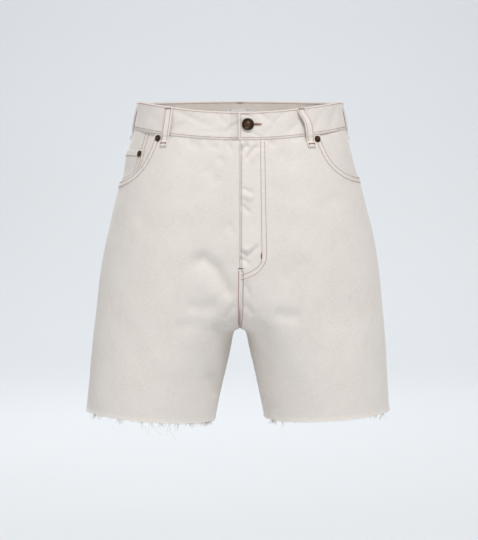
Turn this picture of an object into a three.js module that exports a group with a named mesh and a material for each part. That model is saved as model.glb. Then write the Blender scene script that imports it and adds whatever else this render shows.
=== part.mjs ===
// Off-white denim shorts in the five-pocket cut, high in the rise, with a raw frayed hem.
// They keep the hollow form of worn shorts: every piece of cloth is a wall on one shared form.
// Millimetres. +X is the wearer's left, -Y the front, +Z up.
// The origin is the middle of the waist, at the height of the band's middle at the side seams.
import * as THREE from 'three';

// Cloth and seams
const DENIM = 1.4;
const SEAM_GAP = 0.3;
const LAYER_GAP = 0.6; // between layers that lie on each other, so that their facets stay clear
const HALF_GAP = SEAM_GAP / 2;

// Waistband
const BAND_HEIGHT = 39.6;
const BAND_PROUD = 0.8; // how far its face stands out from the panels
const BAND_THICK = 3.0; // two layers of denim with their turnings
const BAND_LAP_GAP = 0.5;
const BAND_UPPER_END = -2.5; // where the upper end stops, across the middle of the front
const BAND_UNDER_END = 36;
const BAND_DIVE = 16; // length over which the under end slips behind the upper one

// Heights of the waist seam at the middle of the front, the sides and the middle of the back
const WAIST_SEAM = { front: -35.2, side: -19.2, back: -15.6, halfWidth: 150 };

// Raw hem of each leg: height at the middle of the leg, rise towards the side, rise towards the back
const HEM = {
  left: { height: -425.5, towardsSide: 0.06, towardsBack: 0.02, middle: 128 },
  right: { height: -427.5, towardsSide: 0.075, towardsBack: 0.016, middle: 128 },
};
const CROTCH = -304; // height of the point where the four inner seams meet

// Half sections of the form. side, front and back are half widths and depths; crown is where the front
// and back are deepest; seamFront, seamBack and inner place the rise or inseam; turn is the angle in
// degrees by which the cloth leaves the rise seam inwards, 90 where the legs part; fullFront and fullBack
// are how far it goes on that way before it rounds off, as a share of the depth left.
const SECTION_COLUMNS = [
  'z', 'side', 'front', 'back', 'crown', 'seamFront', 'seamBack', 'inner', 'turn', 'fullFront', 'fullBack',
];
const TORSO = [
  [30, 142.5, 102.5, 98.5, 30, -102.5, 98.5, 0, 0, 0.55, 0.55],
  [0, 147.5, 105, 103, 32, -105, 103, 0, 0, 0.55, 0.55],
  [-20, 151.5, 107.5, 107, 34, -107.5, 107, 0, 0, 0.55, 0.55],
  [-60, 162, 112, 121, 42, -112, 121, 0, 0, 0.55, 0.55],
  [-100, 173, 116, 134, 50, -116, 133.5, 0, 0, 0.55, 0.55],
  [-140, 183.5, 118, 142, 58, -118, 141, 0, 0, 0.55, 0.55],
  [-180, 193, 118, 145, 66, -117.5, 143, 0, 3, 0.55, 0.55],
  [-220, 199.5, 116, 142, 74, -114, 136, 0, 8, 0.55, 0.55],
  [-255, 203.5, 114, 134, 83, -107, 117, 0, 20, 0.55, 0.55],
  [-280, 206, 112, 126, 92, -93, 86, 0, 42, 0.62, 0.57],
  [-294, 207.2, 110.5, 121, 98, -70, 50, 0, 65, 0.82, 0.61],
  [-301, 207.8, 110, 119, 101, -38, 24, 0, 82, 0.88, 0.66],
  [CROTCH, 208, 109.5, 118, 102, 5, 5, 0.3, 90, 0.88, 0.7],
];
const LEG = [
  [CROTCH, 208, 109.5, 118, 102, 5, 5, 0.3, 90, 0.88, 0.7],
  [-305.5, 208.1, 109.4, 117.5, 102.5, 5, 5, 5.5, 90, 0.88, 0.7],
  [-309, 208.4, 109.2, 116.5, 103, 5, 5, 8, 90, 0.88, 0.7],
  [-330, 210, 108, 112.5, 107, 4.5, 4.5, 13, 90, 0.76, 0.64],
  [-370, 212.5, 105, 106.5, 115, 3.5, 3.5, 21.5, 90, 0.6, 0.56],
  [-410, 215, 102, 101.5, 122, 3, 3, 30, 90, 0.55, 0.55],
  [-445, 217, 99.5, 98, 128, 2, 2, 38, 90, 0.55, 0.55],
];
const WAIST_POWER = 2.25; // power of the superellipse at the waist, easing to a plain ellipse at the crotch
const POWER_FADE = { from: -300, over: 200 };
const QUARTER_CIRCLE = 0.5523; // length of a curve's handle for a quarter circle
const FLAT_SEAM_HANDLE = { share: 0.36, shorter: 0.6 }; // the same where it leaves a flat rise seam
const SIDE_SEAM_BACK = 10; // how far the side seam lies behind the widest point
const CROWN_SHARE = 0.36; // share of a panel's columns between its inner seam and its crown
const RIGHT_LEG_WIDER = 0.03;
const RIGHT_LEG_FADE = { from: -220, over: 200 };
const OUTLINE_STEPS = 56; // points in each of the four stretches of a half section

// Largest folds, as paths across the front or back (x, z): negative depths are troughs
const FOLDS = [
  { face: -1, path: [[-74, -206], [-54, -194], [-37, -207], [-21, -240], [-6, -252]], width: 11, depth: -4.6 },
  { face: -1, path: [[-62, -226], [-46, -246], [-30, -266]], width: 13, depth: 2.6 },
  { face: -1, path: [[54, -262], [66, -270], [78, -279]], width: 14, depth: -2.4 },
  { face: -1, path: [[-46, -362], [-37, -384], [-33, -404]], width: 9, depth: -2.6 },
  { face: -1, path: [[30, -390], [40, -406], [50, -422]], width: 9, depth: -2.6 },
  { face: -1, path: [[52, -50], [66, -62], [82, -68]], width: 12, depth: -1.8 },
  { face: 1, path: [[-96, -286], [-66, -298], [-34, -292]], width: 11, depth: -3.4 },
  { face: 1, path: [[30, -284], [58, -296], [92, -290]], width: 11, depth: -3.8 },
  { face: 1, path: [[-124, -322], [-92, -338], [-64, -340]], width: 14, depth: -2.6 },
  { face: 1, path: [[70, -346], [96, -338], [128, -346]], width: 14, depth: -2.4 },
];
const FOLD_END = 0.22; // share of a fold's length over which each end fades
const FOLD_END_DEPTH = 0.15; // share of its depth that is left there

// Panel grids
const PANEL_COLUMNS = 16;
const FRONT_ROWS = 19;
const BACK_COLUMNS = 14;
const BACK_ROWS = 12;
const YOKE_ROWS = 3;
const CROTCH_ROW_AT_SIDE = -290; // the row through the crotch point ends here at the side seam
const LEG_ROWS_AT_SEAM = [0, 0.012, 0.04, 0.12, 0.27, 0.48, 0.73, 1]; // shares of the inseam
const RISE_STEPS = 600; // steps in which the rise seams are measured

// Pocket scoop, measured round the body from the side seam and down from the waist seam
const SCOOPS = { left: { across: 112, deep: 67 }, right: { across: 102.5, deep: 74 } };
const SCOOP_POWER = 3;
const SCOOP_ROWS = 8;
const SCOOP_CLEAR = 1.2;

// Pocket facing and bag back, in one sheet
const POCKET_SHEET = {
  across: 142, deep: 168, corner: 40, cornerPower: 2.4, thick: 1.0, gap: 1.3, columns: 12, rows: 9,
  flush: -0.1,
};
const FACING_RISE = { full: 0.1, none: 0.5 }; // where the facing comes up, as shares of the scoop's reach

// Coin pocket: its hem lies below the waist seam, its inner edge away from the side seam
const COIN = { hemAtEdge: 24.4, hemAtSide: 30.4, inner: 88, thick: 1.1, columns: 8, rows: 3, fromSide: 1.5 };

// Yoke: depth of its lower seam below the waist seam
const YOKE = { side: 38, middle: 68 };

// Back patch pocket, measured round the body from the middle of the back
const BACK_POCKET = {
  middle: 85, topWidth: 148, bottomWidth: 128, sideHeight: 130, tipHeight: 152,
  top: 96, topTilt: 0.06, thick: 1.3, columns: 10, rows: 8,
};

// Under side of the fly, behind both fronts
const UNDERLAP = { right: -14, left: 36, bottom: -212, thick: 1.5, columns: 5, rows: 10 };

// Belt loops: heights of the two ends from the waist seam, and the double cloth at their folded ends
const LOOP = {
  width: 11.4, thick: 1.8, top: 38.4, bottom: -15.5, tackGap: 0.5, columns: 3,
  fold: { thick: 2.5, foot: 0.1, top: 0.95 }, seatRise: 3, slantFrom: 0.55,
};
// arc is the place round the body from the middle of the front, bow how far the loop stands out, slant
// how far its top leans towards the front
const LOOPS = [
  { name: 'front_left', side: 1, arc: 95, bow: 5.2, slant: 6 },
  { name: 'front_right', side: -1, arc: 103, bow: 2.6, slant: -2 },
  { name: 'side_left', side: 1, arc: 226, bow: 1.6, slant: 0 },
  { name: 'side_right', side: -1, arc: 226, bow: 1.6, slant: 0 },
  { name: 'back', side: 1, place: 2, bow: 6.2, slant: 0 },
];
// Height as a share of the loop from its foot, and the share of its bow there
const LOOP_PATH = [
  [0, 0], [0.1, 0], [0.17, 0.12], [0.28, 0.62], [0.42, 0.96], [0.56, 1],
  [0.7, 0.86], [0.82, 0.46], [0.9, 0.12], [0.95, 0], [1, 0],
];

// Waist button, with its buttonhole's ends across the front
const BUTTON = { x: 10.8, z: -13.2, segments: 24, hole: { from: 8, to: 29, height: 3.8 } };
// Columns of the band: lengths near its two ends, and even shares round the body between them
const BAND_COLUMNS = {
  nearUpperEnd: [BAND_UPPER_END, 3, BUTTON.hole.from, 12.5, 18, 23.5, BUTTON.hole.to, 34],
  dive: [-22, -BAND_DIVE, -12, -8, -5.5, BAND_UPPER_END - SEAM_GAP],
  under: [3, 9, 15.5, 22, 29, BAND_UNDER_END],
  around: 61,
  firstEven: 3,
  lastEven: 58,
};
// Rows of the band away from the buttonhole, as shares of its height from the waist seam
const BAND_LEVELS = [1, 0.78, 0.607, 0.51, 0.25, HALF_GAP / BAND_HEIGHT];
const HOLE_ROW = 2; // the buttonhole lies between this row and the next
const HOLE_FADE = { near: 30, far: 60 }; // distance from the front over which the rows leave the buttonhole
// Profiles of the button and rivets, as radius and height above the cloth
const BUTTON_PROFILE = [
  [0, -3.1], [1.6, -3.1], [1.6, 0.9], [7.6, 1.0], [8.4, 1.5], [8.5, 2.3], [8.0, 3.1],
  [7.0, 3.5], [6.0, 3.2], [5.2, 2.7], [3.4, 2.7], [2.6, 3.1], [0, 3.2],
];
const RIVET_PROFILE = [[0, 0], [4.4, 0], [4.6, 0.4], [4.1, 0.9], [2.9, 1.0], [2.2, 1.5], [0, 1.7]];
const RIVET_SEGMENTS = 14;
const RIVETS = [
  { name: 'scoop_left', side: 1, fromSide: 119, below: 5.8 },
  { name: 'scoop_right', side: -1, fromSide: 110, below: 5.8 },
];
const COIN_RIVET = { fromSide: 80, below: 31 };

// Label inside the back of the band
const LABEL = { width: 37, height: 24, below: 12, thick: 0.7, columns: 4, rows: 2 };

// Frayed edge: a narrow strip under each hem with its threads
const FRINGE = {
  strip: 2.6, thick: 1.1, threads: 76, threadWidth: 1.0, shortest: 2.5, spread: 4,
  firstPlace: 0.25, placeSpread: 0.4, leanAcross: 0.7, leanOut: 0.25, outShare: 0.35,
  bendDown: 0.55, bendLean: 0.3, bendWidth: 0.6, tuftFade: 0.5,
};
// Longer tufts: x along the front or back of the hem, how far they reach, and how wide they are
const TUFTS = [
  { leg: -1, face: -1, x: -200, reach: 12, width: 14 },
  { leg: -1, face: -1, x: -170, reach: 12, width: 6 },
  { leg: -1, face: -1, x: -139, reach: 17, width: 5 },
  { leg: -1, face: -1, x: -122, reach: 17, width: 5 },
  { leg: -1, face: -1, x: -99, reach: 24, width: 5 },
  { leg: -1, face: -1, x: -89, reach: 16, width: 7 },
  { leg: -1, face: -1, x: -54, reach: 6, width: 22 },
  { leg: 1, face: -1, x: 51, reach: 8, width: 14 },
  { leg: 1, face: -1, x: 203, reach: 10, width: 16 },
  { leg: 1, face: 1, x: 96, reach: 17, width: 7 },
  { leg: 1, face: 1, x: 160, reach: 12, width: 12 },
  { leg: -1, face: 1, x: -78, reach: 14, width: 9 },
  { leg: -1, face: 1, x: -150, reach: 18, width: 6 },
];

// Finishes
const finish = (color, roughness, metalness) => new THREE.MeshStandardMaterial({ color, roughness, metalness });
const DENIM_FINISH = finish(0xe4e0da, 0.9, 0);
const SHEETING_FINISH = finish(0xe9e5dd, 0.92, 0);
const LABEL_FINISH = finish(0xf2f0ec, 0.85, 0);
const BRONZE_FINISH = finish(0x4b382b, 0.42, 0.85);

const clamp = (value, low, high) => Math.min(high, Math.max(low, value));
const mix = (a, b, share) => a + (b - a) * share;
const smooth = (value) => {
  const s = clamp(value, 0, 1);
  return s * s * (3 - 2 * s);
};
const range = (count) => Array.from({ length: count }, (_, index) => index);

// Repeatable numbers from 0 to 1
function randomFrom(seed) {
  let state = seed;
  return () => {
    state = (state * 1664525 + 1013904223) % 4294967296;
    return state / 4294967296;
  };
}

// Straight-line reading of a rising list of places
function read(at, places, values) {
  let k = 0;
  while (k < places.length - 2 && at > places[k + 1]) k += 1;
  const share = clamp((at - places[k]) / (places[k + 1] - places[k]), 0, 1);
  return mix(values[k], values[k + 1], share);
}

// Smooth reading of one column of a section table, which keeps rising or falling where the rows do
function readColumn(table, column, z) {
  const rows = [...table].reverse();
  const x = rows.map((row) => row[0]);
  const y = rows.map((row) => row[column]);
  const last = x.length - 1;
  const slope = range(last).map((i) => (y[i + 1] - y[i]) / (x[i + 1] - x[i]));
  const tangent = x.map((_, i) => {
    if (i === 0) return slope[0];
    if (i === last) return slope[last - 1];
    if (slope[i - 1] * slope[i] <= 0) return 0;
    const before = x[i] - x[i - 1];
    const after = x[i + 1] - x[i];
    const [w1, w2] = [2 * after + before, after + 2 * before];
    return (w1 + w2) / (w1 / slope[i - 1] + w2 / slope[i]);
  });
  const at = clamp(z, x[0], x[last]);
  let k = 0;
  while (k < last - 1 && at > x[k + 1]) k += 1;
  const h = x[k + 1] - x[k];
  const s = (at - x[k]) / h;
  const cube = s * s * s;
  const square = s * s;
  return (2 * cube - 3 * square + 1) * y[k] + (cube - 2 * square + s) * h * tangent[k]
    + (3 * square - 2 * cube) * y[k + 1] + (cube - square) * h * tangent[k + 1];
}

function sectionAt(z) {
  const table = z >= CROTCH ? TORSO : LEG;
  const section = {};
  SECTION_COLUMNS.forEach((name, column) => { section[name] = readColumn(table, column, z); });
  return section;
}

// From the rise or inseam out to the crown: face is -1 at the front and 1 at the back
function innerStretch(section, face) {
  const seamY = face < 0 ? section.seamFront : section.seamBack;
  const fullY = face < 0 ? -section.front : section.back;
  const angle = THREE.MathUtils.degToRad(section.turn);
  const across = section.crown - section.inner;
  const full = face < 0 ? section.fullFront : section.fullBack;
  const flat = FLAT_SEAM_HANDLE.share * (1 - FLAT_SEAM_HANDLE.shorter * Math.sin(angle));
  const start = flat * across * Math.cos(angle) + full * Math.abs(fullY - seamY) * Math.sin(angle);
  const curve = new THREE.CubicBezierCurve(
    new THREE.Vector2(section.inner, seamY),
    new THREE.Vector2(section.inner + start * Math.cos(angle), seamY + face * start * Math.sin(angle)),
    new THREE.Vector2(section.crown - QUARTER_CIRCLE * across, fullY),
    new THREE.Vector2(section.crown, fullY),
  );
  return curve.getPoints(OUTLINE_STEPS);
}

// A quarter of a superellipse from the crown to the widest point
function outerStretch(section, face, power) {
  const fullY = face < 0 ? -section.front : section.back;
  return range(OUTLINE_STEPS + 1).map((step) => {
    const angle = (step / OUTLINE_STEPS) * Math.PI / 2;
    const x = section.crown + (section.side - section.crown) * Math.sin(angle) ** (2 / power);
    return new THREE.Vector2(x, fullY * Math.cos(angle) ** (2 / power));
  });
}

// The half section at one height, from the front seam round the side to the back seam
const outlines = new Map();
function outlineAt(z) {
  const key = z.toFixed(4);
  if (outlines.has(key)) return outlines.get(key);
  const section = sectionAt(z);
  const power = 2 + (WAIST_POWER - 2) * clamp((z - POWER_FADE.from) / POWER_FADE.over, 0, 1);
  const points = [
    ...innerStretch(section, -1),
    ...outerStretch(section, -1, power).slice(1),
    ...outerStretch(section, 1, power).reverse().slice(1),
    ...innerStretch(section, 1).reverse().slice(1),
  ];
  const arcs = [0];
  for (let i = 1; i < points.length; i += 1) arcs.push(arcs[i - 1] + points[i].distanceTo(points[i - 1]));
  const marks = [
    0,
    arcs[OUTLINE_STEPS],
    arcs[2 * OUTLINE_STEPS] + SIDE_SEAM_BACK,
    arcs[3 * OUTLINE_STEPS],
    arcs[4 * OUTLINE_STEPS],
  ];
  const outline = { points, arcs, marks, inner: section.inner };
  outlines.set(key, outline);
  return outline;
}

// A place on the form is t: 0 front seam, 1 side seam, 2 back seam; arc is its distance round from the front
const MARK_PLACES = [0, CROWN_SHARE, 1, 2 - CROWN_SHARE, 2];
const arcOf = (t, z) => read(t, MARK_PLACES, outlineAt(z).marks);
const placeOf = (arc, z) => read(arc, outlineAt(z).marks, MARK_PLACES);
const sideArc = (z) => outlineAt(z).marks[2];
const wholeArc = (z) => outlineAt(z).marks[4];

// How far the folds push the cloth out at one place of the front or back
function foldAt(x, z, face) {
  let push = 0;
  for (const fold of FOLDS) {
    if (fold.face !== face) continue;
    const lengths = [0];
    for (let i = 1; i < fold.path.length; i += 1) {
      const [ax, az] = fold.path[i - 1];
      const [bx, bz] = fold.path[i];
      lengths.push(lengths[i - 1] + Math.hypot(bx - ax, bz - az));
    }
    const whole = lengths[lengths.length - 1];
    let nearest = Infinity;
    let along = 0;
    for (let i = 1; i < fold.path.length; i += 1) {
      const [ax, az] = fold.path[i - 1];
      const [bx, bz] = fold.path[i];
      const length = lengths[i] - lengths[i - 1];
      const share = clamp(((x - ax) * (bx - ax) + (z - az) * (bz - az)) / length ** 2, 0, 1);
      const distance = Math.hypot(x - mix(ax, bx, share), z - mix(az, bz, share));
      if (distance < nearest) {
        nearest = distance;
        along = (lengths[i - 1] + share * length) / whole;
      }
    }
    const ends = smooth(along / FOLD_END) * smooth((1 - along) / FOLD_END);
    push += fold.depth * mix(FOLD_END_DEPTH, 1, ends) * Math.exp(-((nearest / fold.width) ** 2));
  }
  return push;
}

// The point of the cloth's face at a distance round the half section; side is 1 left and -1 right
function clothPoint(arc, z, side) {
  const { points, arcs, inner } = outlineAt(z);
  let k = 0;
  let end = arcs.length - 2;
  while (k < end) {
    const middle = (k + end + 1) >> 1;
    if (arcs[middle] <= arc) k = middle;
    else end = middle - 1;
  }
  const length = arcs[k + 1] - arcs[k];
  const share = clamp((arc - arcs[k]) / length, 0, 1);
  let x = mix(points[k].x, points[k + 1].x, share);
  let y = mix(points[k].y, points[k + 1].y, share);
  const face = arc < sideArc(z) ? -1 : 1;
  const push = foldAt(side * x, z, face);
  x += push * (points[k + 1].y - points[k].y) / length;
  y -= push * (points[k + 1].x - points[k].x) / length;
  if (side < 0) {
    const wider = RIGHT_LEG_WIDER * clamp((RIGHT_LEG_FADE.from - z) / RIGHT_LEG_FADE.over, 0, 1);
    x = inner + (x - inner) * (1 + wider);
  }
  return new THREE.Vector3(side * (x + HALF_GAP), y, z);
}

// The cloth's outward direction there
const REACH = 2;
function clothNormal(arc, z, side) {
  const t = placeOf(arc, z);
  const whole = wholeArc(z);
  const round = clothPoint(Math.min(arc + REACH, whole), z, side)
    .sub(clothPoint(Math.max(arc - REACH, 0), z, side));
  const down = clothPoint(arcOf(t, z - REACH), z - REACH, side)
    .sub(clothPoint(arcOf(t, z + REACH), z + REACH, side));
  return down.cross(round).multiplyScalar(side).normalize();
}

// The same, offset from the face: positive is outwards
function clothOffset(arc, z, side, offset) {
  return clothPoint(arc, z, side).addScaledVector(clothNormal(arc, z, side), offset);
}

// Height of the waist seam and of the hem at one place round the body
function waistAt(t, side) {
  const x = Math.abs(clothPoint(arcOf(t, WAIST_SEAM.side), WAIST_SEAM.side, side).x);
  const middle = t <= 1 ? WAIST_SEAM.front : WAIST_SEAM.back;
  return mix(middle, WAIST_SEAM.side, clamp((x / WAIST_SEAM.halfWidth) ** 2, 0, 1));
}

function hemAt(t, side) {
  const hem = side > 0 ? HEM.left : HEM.right;
  const point = clothPoint(arcOf(t, hem.height), hem.height, side);
  return hem.height + hem.towardsSide * (Math.abs(point.x) - hem.middle) + hem.towardsBack * point.y;
}

// A closed geometry from its corners and triangles, turned the right way out
function solidGeometry(corners, triangles) {
  let volume = 0;
  for (const [a, b, c] of triangles) {
    volume += corners[a].dot(new THREE.Vector3().crossVectors(corners[b], corners[c]));
  }
  const facing = volume < 0 ? triangles.map(([a, b, c]) => [a, c, b]) : triangles;
  const geometry = new THREE.BufferGeometry();
  const numbers = corners.flatMap((p) => [p.x, p.y, p.z]);
  geometry.setAttribute('position', new THREE.Float32BufferAttribute(numbers, 3));
  geometry.setIndex(facing.flat());
  geometry.computeVertexNormals();
  return geometry;
}

// A wall between two equal grids of points, closed round its edges and round any cells left out
function wallGeometry(outer, inner, leftOut = () => false) {
  const rows = outer.length;
  const columns = outer[0].length;
  const corners = [];
  const indexOf = new Map();
  const corner = (layer, row, column) => {
    const key = `${layer} ${row} ${column}`;
    if (!indexOf.has(key)) {
      indexOf.set(key, corners.length);
      corners.push((layer === 0 ? outer : inner)[row][column]);
    }
    return indexOf.get(key);
  };
  const filled = (row, column) => row >= 0 && column >= 0 && row < rows - 1 && column < columns - 1
    && !leftOut(row, column);
  const triangles = [];
  const quad = (a, b, c, d) => triangles.push([a, b, c], [a, c, d]);
  const edge = (r0, c0, r1, c1) => {
    quad(corner(0, r0, c0), corner(0, r1, c1), corner(1, r1, c1), corner(1, r0, c0));
  };
  for (let r = 0; r < rows - 1; r += 1) {
    for (let c = 0; c < columns - 1; c += 1) {
      if (!filled(r, c)) continue;
      const fallingLength = outer[r][c].distanceTo(outer[r + 1][c + 1]);
      const falling = fallingLength <= outer[r + 1][c].distanceTo(outer[r][c + 1]);
      const around = [[r, c], [r + 1, c], [r + 1, c + 1], [r, c + 1]];
      if (!falling) around.push(around.shift());
      quad(...around.map(([row, column]) => corner(0, row, column)));
      const [a, b, d, e] = around.map(([row, column]) => corner(1, row, column));
      quad(a, e, d, b);
      if (!filled(r, c - 1)) edge(r + 1, c, r, c);
      if (!filled(r, c + 1)) edge(r, c + 1, r + 1, c + 1);
      if (!filled(r - 1, c)) edge(r, c, r, c + 1);
      if (!filled(r + 1, c)) edge(r + 1, c + 1, r + 1, c);
    }
  }
  return solidGeometry(corners, triangles);
}

// A wall of cloth on one side of the body from a grid of places, as arc and z, and its two faces' offsets
function clothWall(places, side, outerOffset, innerOffset) {
  const grid = (offset) => places.map((row) => row.map(({ arc, z, lift = 0 }) => (
    clothOffset(arc, z, side, offset + lift)
  )));
  return wallGeometry(grid(outerOffset), grid(innerOffset));
}

const parts = new THREE.Group();
function addPart(name, geometry, material) {
  const mesh = new THREE.Mesh(geometry, material);
  mesh.name = name;
  parts.add(mesh);
  return mesh;
}

// Heights that divide the rise seam evenly along its length, from a given top to the crotch point
function riseHeights(column, top, count) {
  const index = SECTION_COLUMNS.indexOf(column);
  const heights = [];
  const lengths = [];
  let before = null;
  for (let i = 0; i <= RISE_STEPS; i += 1) {
    const z = mix(top, CROTCH, i / RISE_STEPS);
    const y = readColumn(TORSO, index, z);
    lengths.push(before ? lengths[i - 1] + Math.hypot(y - before.y, z - before.z) : 0);
    heights.push(z);
    before = { y, z };
  }
  return range(count + 1).map((i) => read((i / count) * lengths[RISE_STEPS], lengths, heights));
}

// Rows of a leg, below the row through the crotch point; share runs from the inner seam to the side
function legRow(row, t, share, side) {
  const top = mix(CROTCH, CROTCH_ROW_AT_SIDE, share);
  const down = mix(LEG_ROWS_AT_SEAM[row], row / (LEG_ROWS_AT_SEAM.length - 1), share);
  return mix(top, hemAt(t, side), down);
}

const trimmed = (arc, z) => clamp(arc, HALF_GAP, wholeArc(z) - HALF_GAP);

const scoopOf = (side) => (side > 0 ? SCOOPS.left : SCOOPS.right);

// The front's outer edge: down the pocket scoop, then down the side seam
function frontEdge(row, side) {
  const scoop = scoopOf(side);
  if (row > SCOOP_ROWS) {
    const share = (row - SCOOP_ROWS) / (FRONT_ROWS - SCOOP_ROWS);
    return { fromSide: HALF_GAP, depth: mix(scoop.deep, WAIST_SEAM.side - CROTCH_ROW_AT_SIDE, share) };
  }
  const angle = (row / SCOOP_ROWS) * Math.PI / 2;
  return {
    fromSide: Math.max(HALF_GAP, scoop.across * Math.cos(angle) ** (2 / SCOOP_POWER)),
    depth: Math.max(HALF_GAP, scoop.deep * Math.sin(angle) ** (2 / SCOOP_POWER)),
  };
}

function frontPlaces(side) {
  const rise = riseHeights('seamFront', WAIST_SEAM.front - HALF_GAP, FRONT_ROWS);
  const upper = rise.map((seamZ, row) => {
    const edge = frontEdge(row, side);
    return range(PANEL_COLUMNS + 1).map((column) => {
      const share = column / PANEL_COLUMNS;
      const depth = mix(WAIST_SEAM.front - seamZ, edge.depth, share);
      const edgeZ = WAIST_SEAM.side - edge.depth;
      const edgePlace = placeOf(sideArc(edgeZ) - edge.fromSide, edgeZ);
      const t = share * edgePlace;
      const z = Math.max(waistAt(t, side) - depth, mix(seamZ, CROTCH_ROW_AT_SIDE, share));
      const arc = share === 1 ? sideArc(z) - edge.fromSide : arcOf(t, z);
      return { arc: trimmed(arc, z), z };
    });
  });
  const lower = range(LEG_ROWS_AT_SEAM.length - 1).map((row) => range(PANEL_COLUMNS + 1).map((column) => {
    const share = column / PANEL_COLUMNS;
    const z = legRow(row + 1, share, share, side);
    const arc = share === 1 ? sideArc(z) - HALF_GAP : arcOf(share, z);
    return { arc: trimmed(arc, z), z };
  }));
  return [...upper, ...lower];
}

const yokeDepth = (t) => mix(YOKE.side, YOKE.middle, t - 1);

function backPlaces(side) {
  const rise = riseHeights('seamBack', WAIST_SEAM.back - YOKE.middle - HALF_GAP, BACK_ROWS);
  const place = (t, z) => ({ arc: trimmed(t === 1 ? sideArc(z) + HALF_GAP : arcOf(t, z), z), z });
  const upper = rise.map((seamZ, row) => range(BACK_COLUMNS + 1).map((column) => {
    const share = column / BACK_COLUMNS;
    const t = 1 + share;
    const top = waistAt(t, side) - yokeDepth(t) - HALF_GAP;
    const bottom = mix(CROTCH_ROW_AT_SIDE, CROTCH, share);
    const seamDown = (rise[0] - seamZ) / (rise[0] - CROTCH);
    return place(t, mix(top, bottom, mix(row / BACK_ROWS, seamDown, share)));
  }));
  const lower = range(LEG_ROWS_AT_SEAM.length - 1).map((row) => range(BACK_COLUMNS + 1).map((column) => {
    const share = column / BACK_COLUMNS;
    return place(1 + share, legRow(row + 1, 1 + share, 1 - share, side));
  }));
  return [...upper, ...lower];
}

function yokePlaces(side) {
  return range(YOKE_ROWS + 1).map((row) => range(BACK_COLUMNS + 1).map((column) => {
    const t = 1 + column / BACK_COLUMNS;
    const z = waistAt(t, side) - mix(HALF_GAP, yokeDepth(t) - HALF_GAP, row / YOKE_ROWS);
    return { arc: trimmed(column === 0 ? sideArc(z) + HALF_GAP : arcOf(t, z), z), z };
  }));
}

// A place measured round from the side seam towards the front and down from the waist seam
function belowWaist(fromSide, depth, side) {
  const t = placeOf(sideArc(WAIST_SEAM.side) - fromSide, WAIST_SEAM.side);
  const z = waistAt(t, side) - depth;
  return { arc: sideArc(z) - fromSide, z };
}

// The facing dips behind the scoop's edge and lies flush with the panels beyond it
function facingLift(fromSide, depth, side) {
  const scoop = scoopOf(side);
  const edge = (fromSide / scoop.across) ** SCOOP_POWER + (depth / scoop.deep) ** SCOOP_POWER;
  const rise = (FACING_RISE.none - edge) / (FACING_RISE.none - FACING_RISE.full);
  return (DENIM + POCKET_SHEET.gap + POCKET_SHEET.flush) * smooth(rise);
}

function pocketPlaces(side) {
  const { across, deep, corner, cornerPower, columns, rows } = POCKET_SHEET;
  return range(rows + 1).map((row) => range(columns + 1).map((column) => {
    const fromSide = mix(HALF_GAP, across, column / columns);
    const rounding = corner * (Math.max(0, fromSide - across + corner) / corner) ** cornerPower;
    const depth = mix(SEAM_GAP, deep - rounding, row / rows);
    return { ...belowWaist(fromSide, depth, side), lift: facingLift(fromSide, depth, side) };
  }));
}

// The coin pocket fills the lower corner of the scoop, just clear of its edge
function coinPlaces(side) {
  const scoop = scoopOf(side);
  return range(COIN.rows + 1).map((row) => range(COIN.columns + 1).map((column) => {
    const fromSide = mix(COIN.fromSide, COIN.inner, column / COIN.columns);
    const top = mix(COIN.hemAtSide, COIN.hemAtEdge, column / COIN.columns);
    const reach = (scoop.deep - SCOOP_CLEAR)
      * (1 - (fromSide / (scoop.across - SCOOP_CLEAR)) ** SCOOP_POWER) ** (1 / SCOOP_POWER);
    const depth = mix(top, reach - SCOOP_CLEAR, row / COIN.rows);
    return { ...belowWaist(fromSide, depth, side), lift: facingLift(fromSide, depth, side) };
  }));
}

function backPocketPlaces(side) {
  const pocket = BACK_POCKET;
  return range(pocket.rows + 1).map((row) => range(pocket.columns + 1).map((column) => {
    const across = 2 * (column / pocket.columns) - 1;
    const width = mix(pocket.topWidth, pocket.bottomWidth, row / pocket.rows);
    const fromBack = pocket.middle - across * width / 2;
    const tall = mix(pocket.tipHeight, pocket.sideHeight, Math.abs(across));
    const z = WAIST_SEAM.back - pocket.top + pocket.topTilt * (fromBack - pocket.middle)
      - tall * (row / pocket.rows);
    return { arc: wholeArc(z) - fromBack, z };
  }));
}

function underlapGeometry() {
  const places = range(UNDERLAP.rows + 1).map((row) => range(UNDERLAP.columns + 1).map((column) => ({
    x: mix(UNDERLAP.right, UNDERLAP.left, column / UNDERLAP.columns),
    z: mix(WAIST_SEAM.front - SEAM_GAP, UNDERLAP.bottom, row / UNDERLAP.rows),
  })));
  const grid = (offset) => places.map((row) => row.map(({ x, z }) => (
    clothOffset(Math.abs(x), z, Math.sign(x), offset)
  )));
  const front = -DENIM - LAYER_GAP;
  return wallGeometry(grid(front), grid(front - UNDERLAP.thick));
}

// A point of the waist ring: distance round from the middle of the front towards the left
function ringOffset(distance, z, offset) {
  const half = wholeArc(z);
  if (distance < 0) return clothOffset(-distance, z, -1, offset);
  if (distance <= half) return clothOffset(distance, z, 1, offset);
  if (distance <= 2 * half) return clothOffset(2 * half - distance, z, -1, offset);
  return clothOffset(distance - 2 * half, z, 1, offset);
}

// Columns of the band, as a share of the whole way round and a length past it
function bandColumns() {
  const { nearUpperEnd, dive, under, around, firstEven, lastEven } = BAND_COLUMNS;
  return [
    ...nearUpperEnd.map((length) => ({ share: 0, length })),
    ...range(lastEven - firstEven + 1).map((i) => ({ share: (i + firstEven) / around, length: 0 })),
    ...[...dive, ...under].map((length) => ({ share: 1, length })),
  ];
}

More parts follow.
